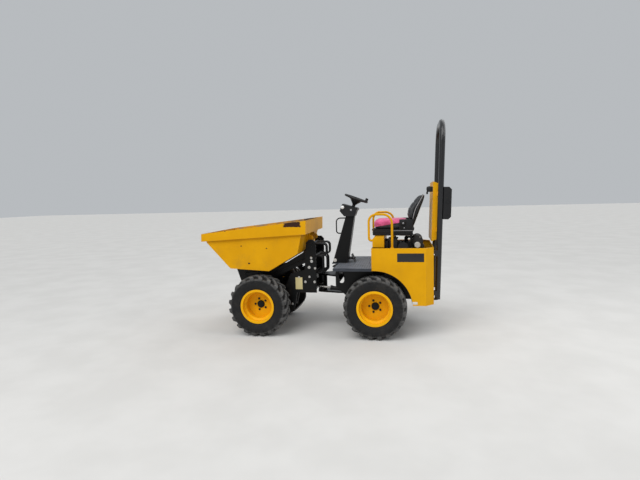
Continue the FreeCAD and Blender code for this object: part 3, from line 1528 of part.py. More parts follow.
doc.recompute()
for item in doc.Objects:
    if "Invalid" in item.State or "Error" in item.State:
        raise RuntimeError("%s (%s) did not build: %s" % (item.Name, item.Label, item.State))
os.makedirs("parts", exist_ok=True)
for item in SUBPARTS:
    if item.Shape.isNull() or not item.Shape.isValid():
        raise RuntimeError("%s has no valid shape" % item.Label)
for item in SUBPARTS:
    item.Shape.exportStep("parts/%s.step" % item.Label)
print("%d sub-parts written" % len(SUBPARTS))
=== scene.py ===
# The site dumper's looks: materials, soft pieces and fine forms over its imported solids
# Lengths in metres, +X forward, +Y left, +Z up, with the origin on the ground between the axles

import json
import math

import bmesh
import bpy
from mathutils import Matrix, Vector, noise


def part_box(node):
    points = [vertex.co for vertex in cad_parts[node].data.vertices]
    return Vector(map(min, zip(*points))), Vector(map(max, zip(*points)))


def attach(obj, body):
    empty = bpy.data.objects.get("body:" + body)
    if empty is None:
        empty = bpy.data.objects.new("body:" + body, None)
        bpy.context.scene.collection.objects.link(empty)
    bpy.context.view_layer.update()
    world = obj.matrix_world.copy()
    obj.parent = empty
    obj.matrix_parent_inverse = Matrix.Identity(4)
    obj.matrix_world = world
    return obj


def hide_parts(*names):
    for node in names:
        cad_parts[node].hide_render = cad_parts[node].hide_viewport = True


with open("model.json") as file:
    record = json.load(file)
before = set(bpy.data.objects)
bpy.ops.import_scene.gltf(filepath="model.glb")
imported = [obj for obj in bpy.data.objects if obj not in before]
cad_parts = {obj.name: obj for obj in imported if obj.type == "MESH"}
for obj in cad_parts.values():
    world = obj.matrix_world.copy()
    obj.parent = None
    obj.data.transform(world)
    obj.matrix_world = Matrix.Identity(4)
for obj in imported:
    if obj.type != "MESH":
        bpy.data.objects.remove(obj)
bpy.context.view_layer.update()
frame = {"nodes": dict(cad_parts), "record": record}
NODES = frame["nodes"]
scene = bpy.context.scene


# Camera at the photo's viewing angle, fitted by least squares to the wheels, skip and roll bar

CAMERA_AT = Vector((-1.0002, 5.7403, 1.7000))
CAMERA_YAW = -0.1917
CAMERA_PITCH = 0.0941
CAMERA_ROLL = -0.0264
LENS = 24.8
SENSOR_WIDTH = 36


def add_camera():
    spin = Matrix.Rotation(-CAMERA_YAW, 3, "Z")
    right = spin @ Vector((-1, 0, 0))
    ahead = spin @ Vector((0, -1, 0))
    up = Vector((0, 0, 1))
    look = ahead * math.cos(CAMERA_PITCH) - up * math.sin(CAMERA_PITCH)
    over = up * math.cos(CAMERA_PITCH) + ahead * math.sin(CAMERA_PITCH)
    side = right * math.cos(CAMERA_ROLL) + over * math.sin(CAMERA_ROLL)
    top = over * math.cos(CAMERA_ROLL) - right * math.sin(CAMERA_ROLL)
    data = bpy.data.cameras.new("camera")
    data.lens = LENS
    data.sensor_width = SENSOR_WIDTH
    camera = bpy.data.objects.new("camera", data)
    turn = Matrix((side, top, -look)).transposed()
    camera.matrix_world = Matrix.Translation(CAMERA_AT) @ turn.to_4x4()
    scene.collection.objects.link(camera)
    scene.camera = camera


add_camera()


# Node materials

BEVEL_SAMPLES = 4
BUMP_STRENGTH = 0.6


class Look:
    """One node material and the short calls that build it.

    Patterns lie in each piece's own space, with their scales in repeats per metre. Masks run from 0 to 1.
    """

    def __init__(self, name, color, rough=0.5, metal=0.0):
        self.mat = bpy.data.materials.new(name)
        self.mat.use_nodes = True
        self.tree = self.mat.node_tree
        self.shader = self.tree.nodes["Principled BSDF"]
        self.shader.inputs["Base Color"].default_value = (*color, 1)
        self.shader.inputs["Roughness"].default_value = rough
        self.shader.inputs["Metallic"].default_value = metal
        self.mat.diffuse_color = (*color, 1)
        self.place = self.add("ShaderNodeTexCoord").outputs["Object"]

    def add(self, kind, **settings):
        node = self.tree.nodes.new(kind)
        for key, value in settings.items():
            setattr(node, key, value)
        return node

    def feed(self, socket, value):
        """Links another node's output to the socket, or sets the socket's own value."""
        if isinstance(value, bpy.types.NodeSocket):
            self.tree.links.new(value, socket)
        elif isinstance(value, tuple) and len(value) == 3 and socket.type == "RGBA":
            socket.default_value = (*value, 1)
        else:
            socket.default_value = value

    def spot(self, scale=(1, 1, 1), move=(0, 0, 0)):
        node = self.add("ShaderNodeMapping")
        self.feed(node.inputs["Vector"], self.place)
        node.inputs["Scale"].default_value = scale
        node.inputs["Location"].default_value = move
        return node.outputs["Vector"]

    def noise(self, scale, detail=3, rough=0.55, stretch=(1, 1, 1), move=(0, 0, 0)):
        node = self.add("ShaderNodeTexNoise")
        self.feed(node.inputs["Vector"], self.spot(stretch, move))
        node.inputs["Scale"].default_value = scale
        node.inputs["Detail"].default_value = detail
        node.inputs["Roughness"].default_value = rough
        return node.outputs["Fac"]

    def cell_edges(self, scale):
        """Distance to the nearest edge of a pattern of cells."""
        node = self.add("ShaderNodeTexVoronoi", feature="DISTANCE_TO_EDGE")
        self.feed(node.inputs["Vector"], self.spot())
        node.inputs["Scale"].default_value = scale
        return node.outputs["Distance"]

    def span(self, value, low, high, to_low=0.0, to_high=1.0):
        """Values between low and high, spread smoothly over the new span."""
        node = self.add("ShaderNodeMapRange", interpolation_type="SMOOTHSTEP")
        for name, entry in (("Value", value), ("From Min", low), ("From Max", high),
                            ("To Min", to_low), ("To Max", to_high)):
            self.feed(node.inputs[name], entry)
        return node.outputs["Result"]

    def calc(self, kind, first, second, clamp=True):
        """Arithmetic on two values, held between 0 and 1 unless told otherwise."""
        node = self.add("ShaderNodeMath", operation=kind, use_clamp=clamp)
        self.feed(node.inputs[0], first)
        self.feed(node.inputs[1], second)
        return node.outputs[0]

    def vector(self, kind, first, second=(0, 0, 0), output="Vector"):
        node = self.add("ShaderNodeVectorMath", operation=kind)
        self.feed(node.inputs[0], first)
        self.feed(node.inputs[1], second)
        return node.outputs[output]

    def parts(self, vector):
        node = self.add("ShaderNodeSeparateXYZ")
        self.feed(node.inputs[0], vector)
        return node.outputs

    def height(self):
        return self.parts(self.place)["Z"]

    def mix(self, fac, first, second):
        node = self.add("ShaderNodeMix", data_type="RGBA")
        self.feed(node.inputs["Factor"], fac)
        self.feed(node.inputs["A"], first)
        self.feed(node.inputs["B"], second)
        return node.outputs["Result"]

    def over(self, under, tone, share, amount):
        """A tone laid over the one under it, where the share says and by the amount."""
        return self.mix(self.calc("MULTIPLY", share, amount), under, tone)

    def blot(self, centre, reach):
        """One within the reach of the centre along each axis, ragged at its edge, and nothing outside."""
        share = self.vector("DIVIDE", self.vector("SUBTRACT", self.place, centre), reach)
        x, y, z = self.parts(self.vector("ABSOLUTE", share))
        most = self.calc("MAXIMUM", self.calc("MAXIMUM", x, y, False), z, False)
        rag = self.calc("MULTIPLY", self.noise(60, detail=6, rough=0.8), 0.9)
        return self.span(self.calc("SUBTRACT", most, rag, False), 0.40, 0.52, 1.0, 0.0)

    def inside(self, centre):
        """One where a face looks towards the centre."""
        facing = self.add("ShaderNodeTexCoord").outputs["Normal"]
        away = self.vector("SUBTRACT", self.place, centre)
        return self.span(self.vector("DOT_PRODUCT", away, facing, "Value"), -0.10, -0.04, 1.0, 0.0)

    def stored(self, name):
        """A value kept on the mesh's points."""
        return self.add("ShaderNodeAttribute", attribute_name=name).outputs["Fac"]

    def bevel(self, radius):
        node = self.add("ShaderNodeBevel", samples=BEVEL_SAMPLES)
        node.inputs["Radius"].default_value = radius
        return node.outputs["Normal"]

    def edges(self, radius):
        """Where the surface bends sharply within the radius."""
        normal = self.add("ShaderNodeNewGeometry").outputs["Normal"]
        flat = self.vector("DOT_PRODUCT", self.bevel(radius), normal, "Value")
        return self.span(self.calc("SUBTRACT", 1.0, flat, False), 0.02, 0.2)

    def bump(self, *layers, soft_edge=0.0):
        """Layers of height, each given with its depth in metres, on edges rounded by soft_edge."""
        normal = self.bevel(soft_edge) if soft_edge else None
        for height, depth in layers:
            node = self.add("ShaderNodeBump")
            node.inputs["Distance"].default_value = depth
            node.inputs["Strength"].default_value = BUMP_STRENGTH
            self.feed(node.inputs["Height"], height)
            if normal:
                self.feed(node.inputs["Normal"], normal)
            normal = node.outputs["Normal"]
        self.feed(self.shader.inputs["Normal"], normal)

    def color(self, value):
        self.feed(self.shader.inputs["Base Color"], value)

    def rough(self, value):
        self.feed(self.shader.inputs["Roughness"], value)

    def set(self, **sockets):
        for name, value in sockets.items():
            self.shader.inputs[name.replace("_", " ")].default_value = value
        return self


RUST = (0.10, 0.032, 0.012)
MUD = (0.12, 0.080, 0.045)
BLOT_RUST = (0.045, 0.022, 0.016)
BARE_STEEL = (0.42, 0.40, 0.37)
RUBBED_DARK = (0.17, 0.13, 0.09)
RUBBED_LIGHT = (0.30, 0.28, 0.25)
OIL = (0.032, 0.024, 0.016)
PAINT_ROUGH = 0.38
STREAK_SHARE = 0.25
CHIPPED_SHARE = 0.55


def paint(name, base, shade, dirt, low, high, rust, chipped_to=BARE_STEEL, blots=(), load_at=None):
    """Sprayed paint that has faded a little.

    Its edges are chipped, its dirt thins out from the low to the high height, the blots are boxes of rust,
    and the load has rubbed the faces that look towards load_at.
    """
    look = Look(name, base, PAINT_ROUGH)
    cloud = look.noise(2.6, detail=4)
    fine = look.noise(160, detail=2)
    body = look.mix(look.span(cloud, 0.3, 0.72), shade, base)
    streak = look.span(look.noise(9, detail=4, rough=0.6, stretch=(1, 1, 0.12)), 0.56, 0.82)
    body = look.over(body, MUD, streak, STREAK_SHARE * dirt)
    low_down = look.span(look.height(), low, high, 1.0, 0.1)
    grime = look.calc("MULTIPLY", look.span(look.noise(7, detail=6, rough=0.68), 0.48, 0.76), low_down)
    body = look.over(body, MUD, grime, dirt)
    chipped = look.span(look.noise(38, detail=5, rough=0.7), 0.46, 0.58)
    chip = look.calc("MULTIPLY", look.edges(0.006), chipped)
    bare = look.mix(look.span(look.noise(60), 0.4, 0.6), chipped_to, RUST)
    body = look.over(body, bare, chip, CHIPPED_SHARE)
    scratch = look.noise(26, detail=8, rough=0.75, stretch=(1, 1, 0.35), move=(3, 1, 2))
    body = look.over(body, RUST, look.span(scratch, 0.69, 0.73), rust)
    for centre, reach in blots:
        body = look.mix(look.blot(centre, reach), body, BLOT_RUST)
    if load_at:
        rubbed = look.span(look.noise(6, detail=7, rough=0.72, stretch=(1, 1, 0.5)), 0.42, 0.66, 0.12, 0.85)
        streaks = look.span(look.noise(45, detail=6, rough=0.75, stretch=(0.2, 1, 1)), 0.4, 0.62)
        body = look.over(body, look.mix(streaks, RUBBED_DARK, RUBBED_LIGHT), look.inside(load_at), rubbed)
    look.color(body)
    matt = look.calc("ADD", look.calc("MULTIPLY", grime, 0.6), look.calc("MULTIPLY", fine, 0.3))
    look.rough(look.span(matt, 0.1, 0.9, 0.34, 0.72))
    look.bump((fine, 0.0003), (cloud, 0.002), soft_edge=0.003)
    return look


YELLOW = (0.74, 0.365, 0.006)
SHADED_YELLOW = (0.66, 0.315, 0.005)
RIM_YELLOW = (0.90, 0.47, 0.006)
SHADED_RIM = (0.82, 0.40, 0.006)
BLACK = (0.0055, 0.0058, 0.0060)
SHADED_BLACK = (0.0032, 0.0034, 0.0036)
BAR_BLACK = (0.008, 0.008, 0.010)
SHADED_BAR = (0.005, 0.005, 0.006)
SKIP_BLOTS = tuple(((x, side * y, z), reach) for side in (1, -1) for x, y, z, reach in (
    # place on the left side and reach along each axis
    (0.350, 0.560, 1.392, (0.115, 0.02, 0.034)),
    (0.925, 0.530, 0.911, (0.014, 0.03, 0.010)),
    (1.215, 0.560, 1.345, (0.010, 0.02, 0.030)),
    (0.705, 0.560, 1.400, (0.030, 0.02, 0.008)),
    (1.020, 0.500, 1.130, (0.009, 0.06, 0.007)),
    (0.690, 0.500, 1.100, (0.010, 0.06, 0.008)),
))

yellow = paint("yellow_paint", YELLOW, SHADED_YELLOW, dirt=0.22, low=0.35, high=1.2, rust=0.5)
skip_yellow = paint("skip_paint", YELLOW, SHADED_YELLOW, dirt=0.25, low=0.6, high=1.5, rust=0.8,
                    blots=SKIP_BLOTS, load_at=(0.85, 0, 1.25))
rim_yellow = paint("rim_paint", RIM_YELLOW, SHADED_RIM, dirt=0.22, low=0.05, high=0.5, rust=0.3)
for painted in (yellow, skip_yellow, rim_yellow):
    painted.set(Specular_IOR_Level=0.05)
black = paint("black_paint", BLACK, SHADED_BLACK, dirt=0.14, low=0.1, high=1.0, rust=0.15,
              chipped_to=(0.09, 0.09, 0.09))
black.set(Specular_IOR_Level=0.2)
bar_black = paint("roll_bar_paint", BAR_BLACK, SHADED_BAR, dirt=0.06, low=0.1, high=1.0, rust=0.06,
                  chipped_to=(0.08, 0.08, 0.08))
bar_black.set(Coat_Weight=0.6, Coat_Roughness=0.15, Specular_IOR_Level=0.3)


def rubber(name, base, dusty, amount, rough, worn=None):
    """Dusty rubber or plastic, with a paler tone of wear and painted highlight where the mesh's points say
    so.
    """
    look = Look(name, base, rough)
    dust = look.span(look.noise(5, detail=6, rough=0.7), 0.45, 0.72)
    grain = look.noise(240, detail=2)
    body = look.over(base, dusty, dust, amount)
    if worn:
        patchy = look.span(look.noise(24, detail=5, rough=0.7), 0.3, 0.6, 0.35, 1.0)
        # paler tone on the marked points: partly wear, partly a painted highlight
        body = look.over(body, worn, look.stored("worn"), patchy)
    look.color(body)
    look.rough(look.span(grain, 0.3, 0.7, rough - 0.1, rough + 0.12))
    look.bump((grain, 0.0006), (dust, 0.001))
    return look.set(Specular_IOR_Level=0.3)


TYRE_BLACK = (0.0095, 0.0095, 0.0098)
TYRE_DUST = (0.036, 0.032, 0.028)
# the crown's tone is partly wear and partly a painted highlight, a sky's reflection on the lugs
TYRE_WORN_AND_HIGHLIGHT = (0.125, 0.122, 0.118)
PLASTIC_BLACK = (0.009, 0.009, 0.010)
PLASTIC_DUST = (0.03, 0.028, 0.026)
tyre_look = rubber("tyre", TYRE_BLACK, TYRE_DUST, amount=0.5, rough=0.72, worn=TYRE_WORN_AND_HIGHLIGHT)
hose_look = rubber("hose", PLASTIC_BLACK, PLASTIC_DUST, amount=0.3, rough=0.42)
plastic = rubber("black_plastic", PLASTIC_BLACK, PLASTIC_DUST, amount=0.25, rough=0.45)


def metal(name, base, rough, dirt):
    look = Look(name, base, rough, metal=1.0)
    stain = look.span(look.noise(14, detail=6, rough=0.7), 0.45, 0.75)
    brush = look.noise(90, rough=0.6, stretch=(1, 1, 0.08))
    look.color(look.over(base, MUD, stain, dirt))
    look.rough(look.span(brush, 0.3, 0.7, rough - 0.06, rough + 0.14))
    look.bump((brush, 0.0002))
    return look


ram_steel = metal("ram_steel", (0.62, 0.62, 0.62), rough=0.16, dirt=0.25)
worn_steel = metal("worn_steel", (0.30, 0.29, 0.27), rough=0.42, dirt=0.5)
zinc = metal("zinc", (0.60, 0.59, 0.57), rough=0.3, dirt=0.3)


def cast(name, base, dirt):
    """Rough cast metal with oily patches."""
    look = Look(name, base, rough=0.6)
    lumps = look.noise(70, detail=4)
    oil = look.span(look.noise(6, detail=6, rough=0.7), 0.42, 0.66)
    look.color(look.over(base, OIL, oil, dirt))
    look.rough(look.span(oil, 0.2, 0.8, 0.7, 0.42))
    look.bump((lumps, 0.0012), soft_edge=0.004)
    return look


engine_look = cast("engine", (0.018, 0.018, 0.019), dirt=0.45)


def deck_plate(name, dark, light, rubbed):
    """Walked-on plate, bright where feet rub its edges."""
    look = Look(name, dark, rough=0.45)
    cloud = look.span(look.noise(5, detail=6, rough=0.7), 0.4, 0.7)
    rub = look.span(look.noise(22, detail=5, rough=0.7), 0.4, 0.6)
    look.color(look.over(look.mix(cloud, dark, light), rubbed, rub, look.edges(0.004)))
    look.rough(look.span(cloud, 0, 1, 0.35, 0.62))
    look.bump((look.noise(180, detail=2), 0.0004), soft_edge=0.0015)
    return look


chequer = deck_plate("chequer", dark=(0.022, 0.026, 0.036), light=(0.036, 0.042, 0.055),
                     rubbed=(0.16, 0.17, 0.19))
lozenge_look = deck_plate("chequer_lozenges", dark=(0.20, 0.22, 0.26), light=(0.34, 0.36, 0.40),
                          rubbed=(0.50, 0.50, 0.51))


def vinyl(name, base):
    """Grained vinyl, paler along its creases."""
    look = Look(name, base, rough=0.42)
    grain = look.cell_edges(420)
    creases = look.noise(30, detail=6, rough=0.7, stretch=(1, 0.3, 1))
    pale = tuple(v * 2.4 + 0.004 for v in base)
    look.color(look.mix(look.span(creases, 0.35, 0.75), base, pale))
    look.rough(look.span(creases, 0.3, 0.7, 0.34, 0.55))
    look.bump((look.span(grain, 0, 0.25), 0.0005), (creases, 0.0015))
    return look


def cloth(name, base, fold_shade, soil_tone):
    """Woven cloth, darker in its folds by painted shade, and a little soiled."""
    look = Look(name, base, rough=0.85)
    warp = look.noise(900, detail=1, rough=0.5, stretch=(1, 0.15, 1))
    weft = look.noise(900, detail=1, rough=0.5, stretch=(0.15, 1, 1))
    fold = look.noise(11, detail=4, rough=0.6)
    soil = look.span(look.noise(6, detail=5, rough=0.7, move=(2, 5, 1)), 0.5, 0.75)
    # the darker tone in the folds is painted shade
    look.color(look.over(look.mix(look.span(fold, 0.3, 0.7), fold_shade, base), soil_tone, soil, 0.3))
    look.bump((look.calc("MULTIPLY", warp, weft), 0.0008), (fold, 0.004))
    return look.set(Sheen_Weight=0.35, Sheen_Roughness=0.5)


vinyl_look = vinyl("black_vinyl", (0.016, 0.017, 0.019))
# the second tone is painted shade in the cover's folds
cover_look = cloth("seat_cover", (0.80, 0.13, 0.32), fold_shade=(0.50, 0.055, 0.16), soil_tone=(0.12, 0.05, 0.05))
trim_look = Look("pale_trim", (0.30, 0.30, 0.31), rough=0.5)
bare_plate = Look("bare_plate", (0.010, 0.010, 0.011), rough=0.35)
cream_plate = Look("cream_plate", (0.66, 0.56, 0.27), rough=0.5)
white_plate = Look("white_plate", (0.62, 0.60, 0.55), rough=0.5)
lamp_glass = Look("lamp_lens", (0.80, 0.80, 0.78), rough=0.18)
lamp_glass.set(Coat_Weight=0.8, Coat_Roughness=0.05)

LOOKS = {
    # material slot of the node: look
    "yellow_paint": yellow,
    "rim_paint": rim_yellow,
    "black_paint": black,
    "ram_steel": ram_steel,
    "tyre": tyre_look,
    "engine": engine_look,
    "chequer": chequer,
    "black_vinyl": vinyl_look,
    "seat_cover": cover_look,
    "black_plastic": plastic,
    "hose": hose_look,
}
OWN_LOOKS = {"rops": bar_black, "skip": skip_yellow, "steer_rod": worn_steel}


def dress_nodes():
    for part in frame["record"]["subparts"]:
        name = part["node"]
        look = OWN_LOOKS.get(name, LOOKS[part["material_slot"]])
        for slot in NODES[name].material_slots:
            slot.link = "OBJECT"
            slot.material = look.mat


dress_nodes()


# Mesh helpers


def add_piece(name, mesh, look, body):
    """A new piece that rides on a body."""
    item = bpy.data.objects.new(name, mesh)
    scene.collection.objects.link(item)
    mesh.materials.append(look.mat)
    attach(item, body)
    return item


def to_mesh(name, build, degrees=35):
    """A mesh from a bmesh that the build call fills, smooth up to the angle between its faces."""
    bm = bmesh.new()
    build(bm)
    bmesh.ops.recalc_face_normals(bm, faces=bm.faces)
    mesh = bpy.data.meshes.new(name)
    bm.to_mesh(mesh)
    bm.free()
    mesh.shade_smooth()
    mesh.set_sharp_from_angle(angle=math.radians(degrees))
    return mesh


def angles(count):
    return [2 * math.pi * i / count for i in range(count)]


def skin(bm, rings, around=True, ends=True):
    """Quads between neighbouring rings of points, all the way around or not, and a face over each end."""
    count = len(rings[0])
    for first, second in zip(rings, rings[1:]):
        for i in range(count if around else count - 1):
            j = (i + 1) % count
            bm.faces.new((first[i], first[j], second[j], second[i]))
    if ends:
        bm.faces.new(rings[0])
        bm.faces.new(rings[-1])


def brick(bm, low, high, soft):
    """A box from its low to its high corner with softened edges."""
    made = bmesh.ops.create_cube(bm, size=1)["verts"]
    middle = (Vector(low) + Vector(high)) / 2
    sides = Vector(high) - Vector(low)
    for vert in made:
        vert.co = Vector([middle[i] + vert.co[i] * sides[i] for i in range(3)])
    edges = {edge for vert in made for edge in vert.link_edges}
    bmesh.ops.bevel(bm, geom=list(edges), offset=soft, segments=2, affect="EDGES", profile=0.5)


def turned(bm, at, axis, profile, sides):
    """A piece turned about an axis, from (radius, height) points, closed at both ends."""
    spin = Vector(axis).to_track_quat("Z", "Y").to_matrix()
    skin(bm, [[bm.verts.new(Vector(at) + spin @ Vector((radius * math.cos(a), radius * math.sin(a), height)))
               for a in angles(sides)] for radius, height in profile])


def rounded_route(points, bends, steps=8):
    """The route through the points, with each inner corner rounded to its bend."""
    points = [Vector(point) for point in points]
    route = [points[0]]
    for before, corner, after, bend in zip(points, points[1:], points[2:], bends):
        back = (before - corner).normalized()
        on = (after - corner).normalized()
        half = back.angle(on) / 2
        run = bend / math.tan(half)
        middle = corner + (back + on).normalized() * (bend / math.sin(half))
        start = corner + back * run - middle
        end = corner + on * run - middle
        turn = start.rotation_difference(end)
        for i in range(steps + 1):
            part = turn.copy()
            part.angle = turn.angle * i / steps
            route.append(middle + part @ start)
    route.append(points[-1])
    return route


def sweep(bm, route, radius, sides=16):
    """A round bar along the route, closed at both ends."""
    route = [Vector(point) for point in route]
    ahead = [(after - before).normalized() for before, after in zip(route, route[1:])]
    tangents = [ahead[0]] + [(a + b).normalized() for a, b in zip(ahead, ahead[1:])] + [ahead[-1]]
    across = tangents[0].orthogonal().normalized()
    rings = []
    for point, tangent in zip(route, tangents):
        across = (across - tangent * across.dot(tangent)).normalized()
        up = tangent.cross(across)
        rings.append([bm.verts.new(point + (across * math.cos(a) + up * math.sin(a)) * radius)
                      for a in angles(sides)])
    skin(bm, rings)


def mirrored(points):
    return [(x, -y, z) for x, y, z in points]


# Studio: pale floor, soft light

FLOOR_REACH = 60
FLOOR_TONE = (0.62, 0.61, 0.59)
FLOOR_DARK = (0.60, 0.59, 0.57)
FLOOR_LIGHT = (0.64, 0.63, 0.61)
SKY_COLOR = (0.92, 0.96, 1.0, 1)
SKY_STRENGTH = 0.52
LIGHTS_AIM = Vector((0, 0, 0.9))
LIGHTS = (
    # name, kind, place, power, settings
    ("sky", "SUN", (1.5, 4.0, 7.0), 1.55, {"angle": math.radians(50)}),
    ("back_sky", "SUN", (-3.0, -4.0, 6.0), 0.5, {"angle": math.radians(60)}),
    ("key", "AREA", (2.5, 5.5, 5.5), 90, {"size": 4.0}),
    ("rim", "AREA", (-5.0, 1.5, 5.0), 80, {"size": 3.0}),
)


def add_light(name, kind, at, power, settings):
    data = bpy.data.lights.new(name, kind)
    data.energy = power
    for key, value in settings.items():
        setattr(data, key, value)
    lamp = bpy.data.objects.new(name, data)
    turn = (LIGHTS_AIM - Vector(at)).to_track_quat("-Z", "Y")
    lamp.matrix_world = Matrix.Translation(at) @ turn.to_matrix().to_4x4()
    scene.collection.objects.link(lamp)


def build_floor(bm):
    bmesh.ops.create_grid(bm, x_segments=2, y_segments=2, size=FLOOR_REACH)


def add_floor():
    mesh = to_mesh("floor", build_floor)
    look = Look("floor", FLOOR_TONE, rough=0.95)
    look.color(look.mix(look.span(look.noise(1.5), 0.3, 0.7), FLOOR_DARK, FLOOR_LIGHT))
    look.set(Specular_IOR_Level=0.1)
    mesh.materials.append(look.mat)
    floor = bpy.data.objects.new("floor", mesh)
    scene.collection.objects.link(floor)


def studio():
    add_floor()
    world = bpy.data.worlds.new("studio")
    world.use_nodes = True
    back = world.node_tree.nodes["Background"]
    back.inputs["Color"].default_value = SKY_COLOR
    back.inputs["Strength"].default_value = SKY_STRENGTH
    scene.world = world
    for row in LIGHTS:
        add_light(*row)
    scene.view_settings.view_transform = "Standard"


studio()


# Tyres

TYRE_RADIUS = 0.380
HALF_TRACK = 0.5
CORNERS = (
    # name, x, side
    ("front_left", 0.812, 1),
    ("front_right", 0.812, -1),
    ("rear_left", -0.638, 1),
    ("rear_right", -0.638, -1),
)
CASING_SIDES = 96
CASING = (
    # half width, radius
    (0.1095, 0.2000), (0.1095, 0.2185), (0.1120, 0.2270), (0.1170, 0.2330),
    (0.1185, 0.2350), (0.1190, 0.2420), (0.1250, 0.2600), (0.1290, 0.2780),
    (0.1305, 0.2960), (0.1300, 0.3120), (0.1275, 0.3260), (0.1225, 0.3370),
    (0.1130, 0.3450), (0.0900, 0.3505), (0.0600, 0.3530), (0.0300, 0.3545),
    (0.0, 0.3550),
)
CASING_INSIDE = ((0.086, 0.2000), (0.104, 0.240), (0.108, 0.290), (0.090, 0.328))
LUG_COUNT = 20
LUG_STATIONS = (
    # share of the pitch round the tyre, y and radius of the crown, y and radius of the foot, half thickness
    (-0.30, 0.003, 0.3792, 0.003, 0.352, 0.0155),
    (-0.10, 0.024, 0.3800, 0.024, 0.352, 0.0160),
    (0.14, 0.052, 0.3798, 0.052, 0.351, 0.0175),
    (0.34, 0.080, 0.3788, 0.080, 0.348, 0.0200),
    (0.46, 0.104, 0.3765, 0.103, 0.343, 0.0225),
    (0.51, 0.1190, 0.3710, 0.112, 0.338, 0.0240),
    (0.53, 0.1295, 0.3600, 0.118, 0.332, 0.0245),
    (0.54, 0.1330, 0.3430, 0.120, 0.326, 0.0240),
    (0.54, 0.1335, 0.3210, 0.122, 0.316, 0.0220),
    (0.54, 0.1325, 0.3040, 0.122, 0.304, 0.0180),
    (0.54, 0.1290, 0.2930, 0.122, 0.296, 0.0130),
)
LUG_SECTION = (
    # share of the half thickness, share of the way down to the foot
    (-1.35, 1.0), (-1.0, 0.1), (-0.78, 0.0), (0.78, 0.0), (1.0, 0.1), (1.35, 1.0),
)
# crown and shoulder get the tone of wear and painted highlight
WORN_AND_HIGHLIGHT_RADIUS = 0.366
SHOULDER_Y = 0.100
SHOULDER_RADIUS = 0.330
SHOULDER_WEAR_AND_HIGHLIGHT = 0.6


def both_walls(profile):
    """The (half width, radius) points of a wall and of the other one, as one run of (y, radius) points."""
    return [(-y, r) for y, r in profile if y] + [(y, r) for y, r in reversed(profile)]


def add_lug(bm, turn, side):
    """One bar of the tread from the middle out over the shoulder and down the sidewall."""
    pitch = 2 * math.pi / LUG_COUNT
    rings = []
    for share, crown_y, crown, foot_y, foot, half in LUG_STATIONS:
        middle = turn + share * pitch
        ring = []
        for across, drop in LUG_SECTION:
            radius = crown + (foot - crown) * drop
            y = crown_y + (foot_y - crown_y) * drop
            a = middle + across * half / crown
            ring.append(bm.verts.new((radius * math.cos(a), side * y, radius * math.sin(a))))
        rings.append(ring)
    skin(bm, rings, around=False)


def build_tyre(bm):
    profile = both_walls(CASING) + list(reversed(both_walls(CASING_INSIDE)))
    rings = [[bm.verts.new((r * math.cos(a), y, r * math.sin(a))) for a in angles(CASING_SIDES)]
             for y, r in profile]
    skin(bm, rings + rings[:1], ends=False)
    for side, start in ((1, 0.0), (-1, 0.5)):
        for i in range(LUG_COUNT):
            add_lug(bm, 2 * math.pi * (i + start) / LUG_COUNT, side)


def mark_wear_and_highlight(mesh):
    """Keeps on each point how far the tread is rubbed there, which also places the painted highlight on the
    lugs.
    """
    layer = mesh.attributes.new("worn", "FLOAT", "POINT")
    for vertex, entry in zip(mesh.vertices, layer.data):
        radius = math.hypot(vertex.co.x, vertex.co.z)
        on_shoulder = abs(vertex.co.y) > SHOULDER_Y and radius > SHOULDER_RADIUS
        entry.value = 1.0 if radius > WORN_AND_HIGHLIGHT_RADIUS else (SHOULDER_WEAR_AND_HIGHLIGHT if on_shoulder else 0.0)


def add_tyres():
    tyre_mesh = to_mesh("tyre", build_tyre, degrees=32)
    mark_wear_and_highlight(tyre_mesh)
    for corner, x, side in CORNERS:
        mesh = tyre_mesh.copy()
        place = Matrix.Translation((x, HALF_TRACK * side, TYRE_RADIUS))
        mesh.transform(place @ Matrix.Diagonal((1, side, 1, 1)))
        if side < 0:
            mesh.flip_normals()
        piece = add_piece("tread_" + corner, mesh, tyre_look, "wheel_" + corner)
        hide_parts("tyre_" + corner)


add_tyres()


# Seat: pads of foam swollen by a cloth simulation, with pressed seams, a welt and the pink cover

FOAM_VOXEL = 0.007
FOAM_PRESSURE = 4.0
FOAM_FRAMES = 20
FOAM_CAP = 0.008
FOAM_QUALITY = 5
CUSHION_FLOOR = 1.3005
BACK_FLOOR = 1.3010
ALONG = Vector((1, 0, 0))
ACROSS = Vector((0, 1, 0))
ROW_SIDES = 44
CUSHION_SQUARENESS = 6
BACK_SQUARENESS = 4
PAD_INSET = 0.006
SHELL_GAP = 0.004
CUSHION_ROWS = (
    # height, front x, rear x, half width
    (1.302, -0.628, -1.026, 0.208),
    (1.322, -0.618, -1.030, 0.222),
    (1.358, -0.613, -1.031, 0.228),
    (1.384, -0.617, -1.030, 0.226),
    (1.400, -0.632, -1.024, 0.214),
    (1.406, -0.652, -1.014, 0.200),
)
BACK_ROWS = (
    # height, front x, seam x, rear x, half width
    (1.420, -1.046, -1.096, -1.140, 0.200),
    (1.440, -1.038, -1.100, -1.150, 0.212),
    (1.480, -1.037, -1.108, -1.164, 0.219),
    (1.545, -1.054, -1.128, -1.188, 0.218),
    (1.605, -1.098, -1.162, -1.212, 0.210),
    (1.655, -1.138, -1.190, -1.230, 0.196),
    (1.692, -1.172, -1.212, -1.240, 0.172),
    (1.708, -1.192, -1.222, -1.240, 0.148),
)
BACK_FOOT = (
    # the same columns, for the shell below the pad
    (1.303, -1.048, -1.048, -1.096, 0.190),
    (1.360, -1.046, -1.046, -1.120, 0.200),
    (1.412, -1.044, -1.060, -1.140, 0.205),
)
